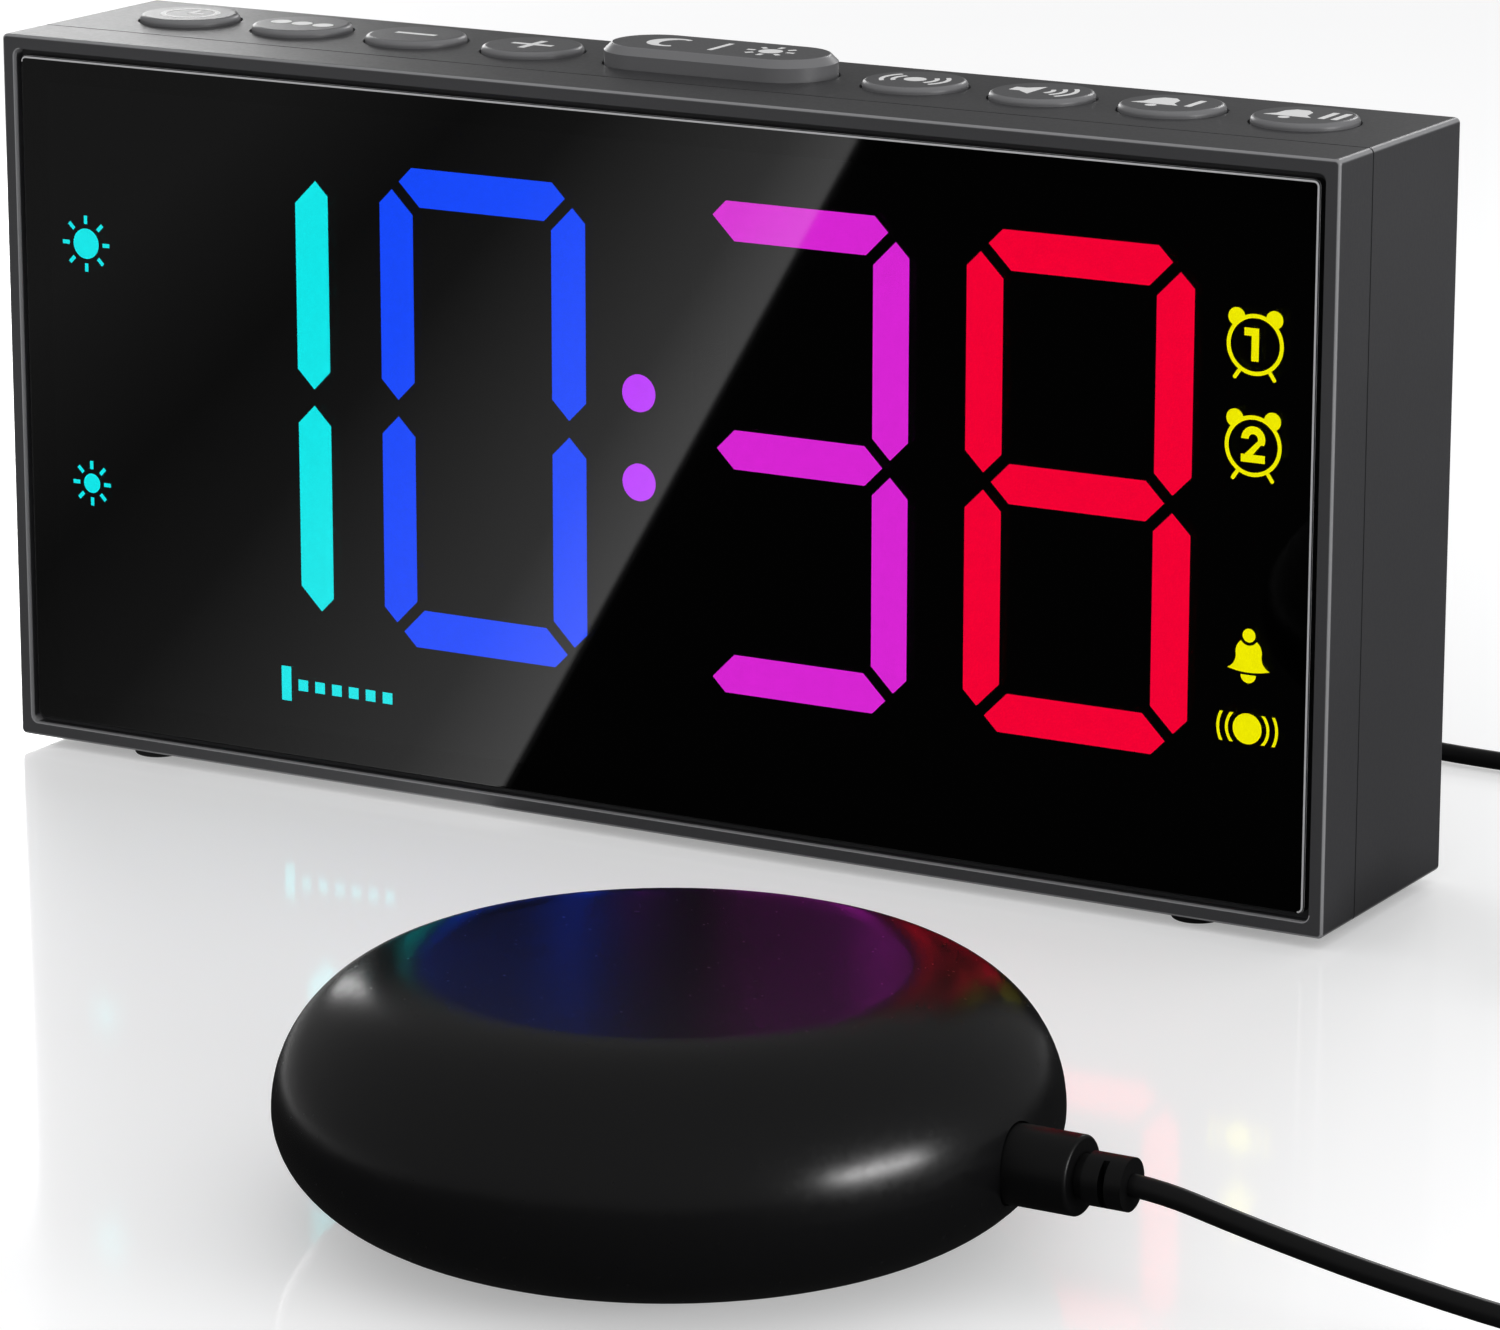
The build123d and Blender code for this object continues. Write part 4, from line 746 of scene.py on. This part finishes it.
strap_weave, tree = start("woven_strap")
place = add(tree, "ShaderNodeTexCoord")
waves = []
for direction in ("X", "Y"):
    wave = add(tree, "ShaderNodeTexWave", {"bands_direction": direction},
               {"Scale": 1000 / (2 * math.pi), "Distortion": 0.3}, {"Vector": place.outputs["Object"]})
    waves.append(wave.outputs["Fac"])
crossing = add(tree, "ShaderNodeMath", {"operation": "MULTIPLY"}, links={0: waves[0], 1: waves[1]})
thread = add(tree, "ShaderNodeMix", {"data_type": "RGBA"}, {6: linear("#121213"), 7: linear("#2c2c2e")},
             {"Factor": crossing.outputs["Value"]})
bumps = add(tree, "ShaderNodeBump", values={"Strength": 0.8, "Distance": 0.0002},
            links={"Height": crossing.outputs["Value"]})
cloth = add(tree, "ShaderNodeBsdfPrincipled", values={"Roughness": 0.85, "Sheen Weight": 0.3},
            links={"Base Color": thread.outputs[2], "Normal": bumps.outputs["Normal"]})
finish_with(tree, cloth.outputs["BSDF"])
strap.data.materials.append(strap_weave)
print("lead and strap done")

# %% [markdown]
# ## Floor and light
# The clock stands on a glossy white table in an even light. Black things are shown by what they mirror, so
# mirrors see a dark studio with three soft lamps. The floor is one large disc. It is lifted for the camera
# alone, more so further away, so that it reaches white while the shadows and the mirrored display near the
# clock stay. In mirrors the floor is dark but for one long light at the left of the clock: its straight edge
# is the slanting glare on the lens.

# %% Floor
floor_radius = 6.0
floor_drop = 0.0002
floor_mesh = bpy.data.meshes.new("floor")
shape = bmesh.new()
bmesh.ops.create_circle(shape, cap_ends=True, segments=64, radius=floor_radius)
shape.to_mesh(floor_mesh)
shape.free()
floor = bpy.data.objects.new("floor", floor_mesh)
floor.location.z = -floor_drop
bpy.context.scene.collection.objects.link(floor)
print("floor is", 2 * floor_radius, "m wide")

# %% Table top, as the camera sees it
lift_near, lift_far = 0.1, 0.36
lift_low, lift_high = 0.44, 0.76
floor_paint, tree = start("white_gloss_table")
rays = add(tree, "ShaderNodeLightPath")
place = add(tree, "ShaderNodeTexCoord")
away = add(tree, "ShaderNodeVectorMath", {"operation": "LENGTH"},
           links={"Vector": place.outputs["Object"]})
sweep = add(tree, "ShaderNodeMapRange",
            values={"From Min": lift_near, "From Max": lift_far, "To Min": lift_low, "To Max": lift_high},
            links={"Value": away.outputs["Value"]})
lift = add(tree, "ShaderNodeMath", {"operation": "MULTIPLY"},
           links={0: sweep.outputs["Result"], 1: rays.outputs["Is Camera Ray"]})
table_top = add(tree, "ShaderNodeBsdfPrincipled",
                values={"Base Color": linear("#f4f4f5"), "Roughness": 0.5, "IOR": 1.5,
                        "Coat Weight": 1.0, "Coat Roughness": 0.08, "Emission Color": linear("#ffffff")},
                links={"Emission Strength": lift.outputs["Value"]})

# %% The long light that mirrors see in the floor
glare_spot = (-0.241, -0.4116, 0.0)
glare_turn = math.radians(156.38)
glare_before, glare_wide = 0.02, 0.2
glare_levels = ((-0.0005, 0.01), (0.0, 0.85), (0.015, 0.42), (0.035, 0.27), (0.06, 0.1), (0.085, 0.06),
                (0.13, 0.13))
glare_strength = 1.6
across = add(tree, "ShaderNodeMapping", {"vector_type": "TEXTURE"},
             {"Location": glare_spot, "Rotation": (0.0, 0.0, glare_turn)},
             {"Vector": place.outputs["Object"]})
along = add(tree, "ShaderNodeSeparateXYZ", links={"Vector": across.outputs["Vector"]})
share = add(tree, "ShaderNodeMapRange",
            values={"From Min": -glare_before, "From Max": glare_wide - glare_before},
            links={"Value": along.outputs["X"]})
stops = [((far + glare_before) / glare_wide, level) for far, level in glare_levels]
mirrored = add(tree, "ShaderNodeEmission", values={"Strength": glare_strength},
               links={"Color": ramp(tree, share.outputs["Result"], stops)})
both = add(tree, "ShaderNodeMixShader",
           links={"Fac": rays.outputs["Is Glossy Ray"], 1: table_top.outputs["BSDF"],
                  2: mirrored.outputs["Emission"]})
finish_with(tree, both.outputs["Shader"])
floor_mesh.materials.append(floor_paint)
print("floor wears", floor_paint.name)

# %% World
even_light, mirrored_light = 0.75, 0.14
world = bpy.data.worlds.new("studio")
bpy.context.scene.world = world
world.use_nodes = True
tree = world.node_tree
tree.nodes.clear()
rays = add(tree, "ShaderNodeLightPath")
level = add(tree, "ShaderNodeMapRange", values={"To Min": even_light, "To Max": mirrored_light},
            links={"Value": rays.outputs["Is Glossy Ray"]})
seen = add(tree, "ShaderNodeMath", {"operation": "MAXIMUM"},
           links={0: level.outputs["Result"], 1: rays.outputs["Is Camera Ray"]})
sky = add(tree, "ShaderNodeBackground", values={"Color": (1.0, 1.0, 1.0, 1.0)},
          links={"Strength": seen.outputs["Value"]})
add(tree, "ShaderNodeOutputWorld", links={"Surface": sky.outputs["Background"]})
print("world is", world.name)

# %% Lamps


def soft_lamp(name, place, target, width, height, power):
    """A rectangular soft lamp that faces a point."""
    lamp = bpy.data.lights.new(name, "AREA")
    lamp.shape = "RECTANGLE"
    lamp.size = width
    lamp.size_y = height
    lamp.energy = power
    holder = bpy.data.objects.new(name, lamp)
    aim = (Vector(target) - Vector(place)).to_track_quat("-Z", "Y")
    holder.matrix_world = Matrix.Translation(Vector(place)) @ aim.to_matrix().to_4x4()
    bpy.context.scene.collection.objects.link(holder)


soft_lamp("back_left_lamp", (-0.77, 0.83, 0.25), (0.0, 0.0, 0.08), 0.3, 0.3, 1.35)
soft_lamp("back_lamp", (-0.14, 1.13, 0.48), (0.0, 0.05, 0.08), 0.24, 0.1, 1.0)
soft_lamp("right_strip", (0.86, -0.04, 0.19), (0.07, -0.05, 0.05), 0.4, 0.1, 2.0)
print("studio lit")

# %% [markdown]
# ## # %% [markdown]
# ## Last words
# The picture is shown through the standard view transform, and the scene is brought up to date.

# %% View transform and the end
bpy.context.scene.view_settings.view_transform = "Standard"
bpy.context.view_layer.update()
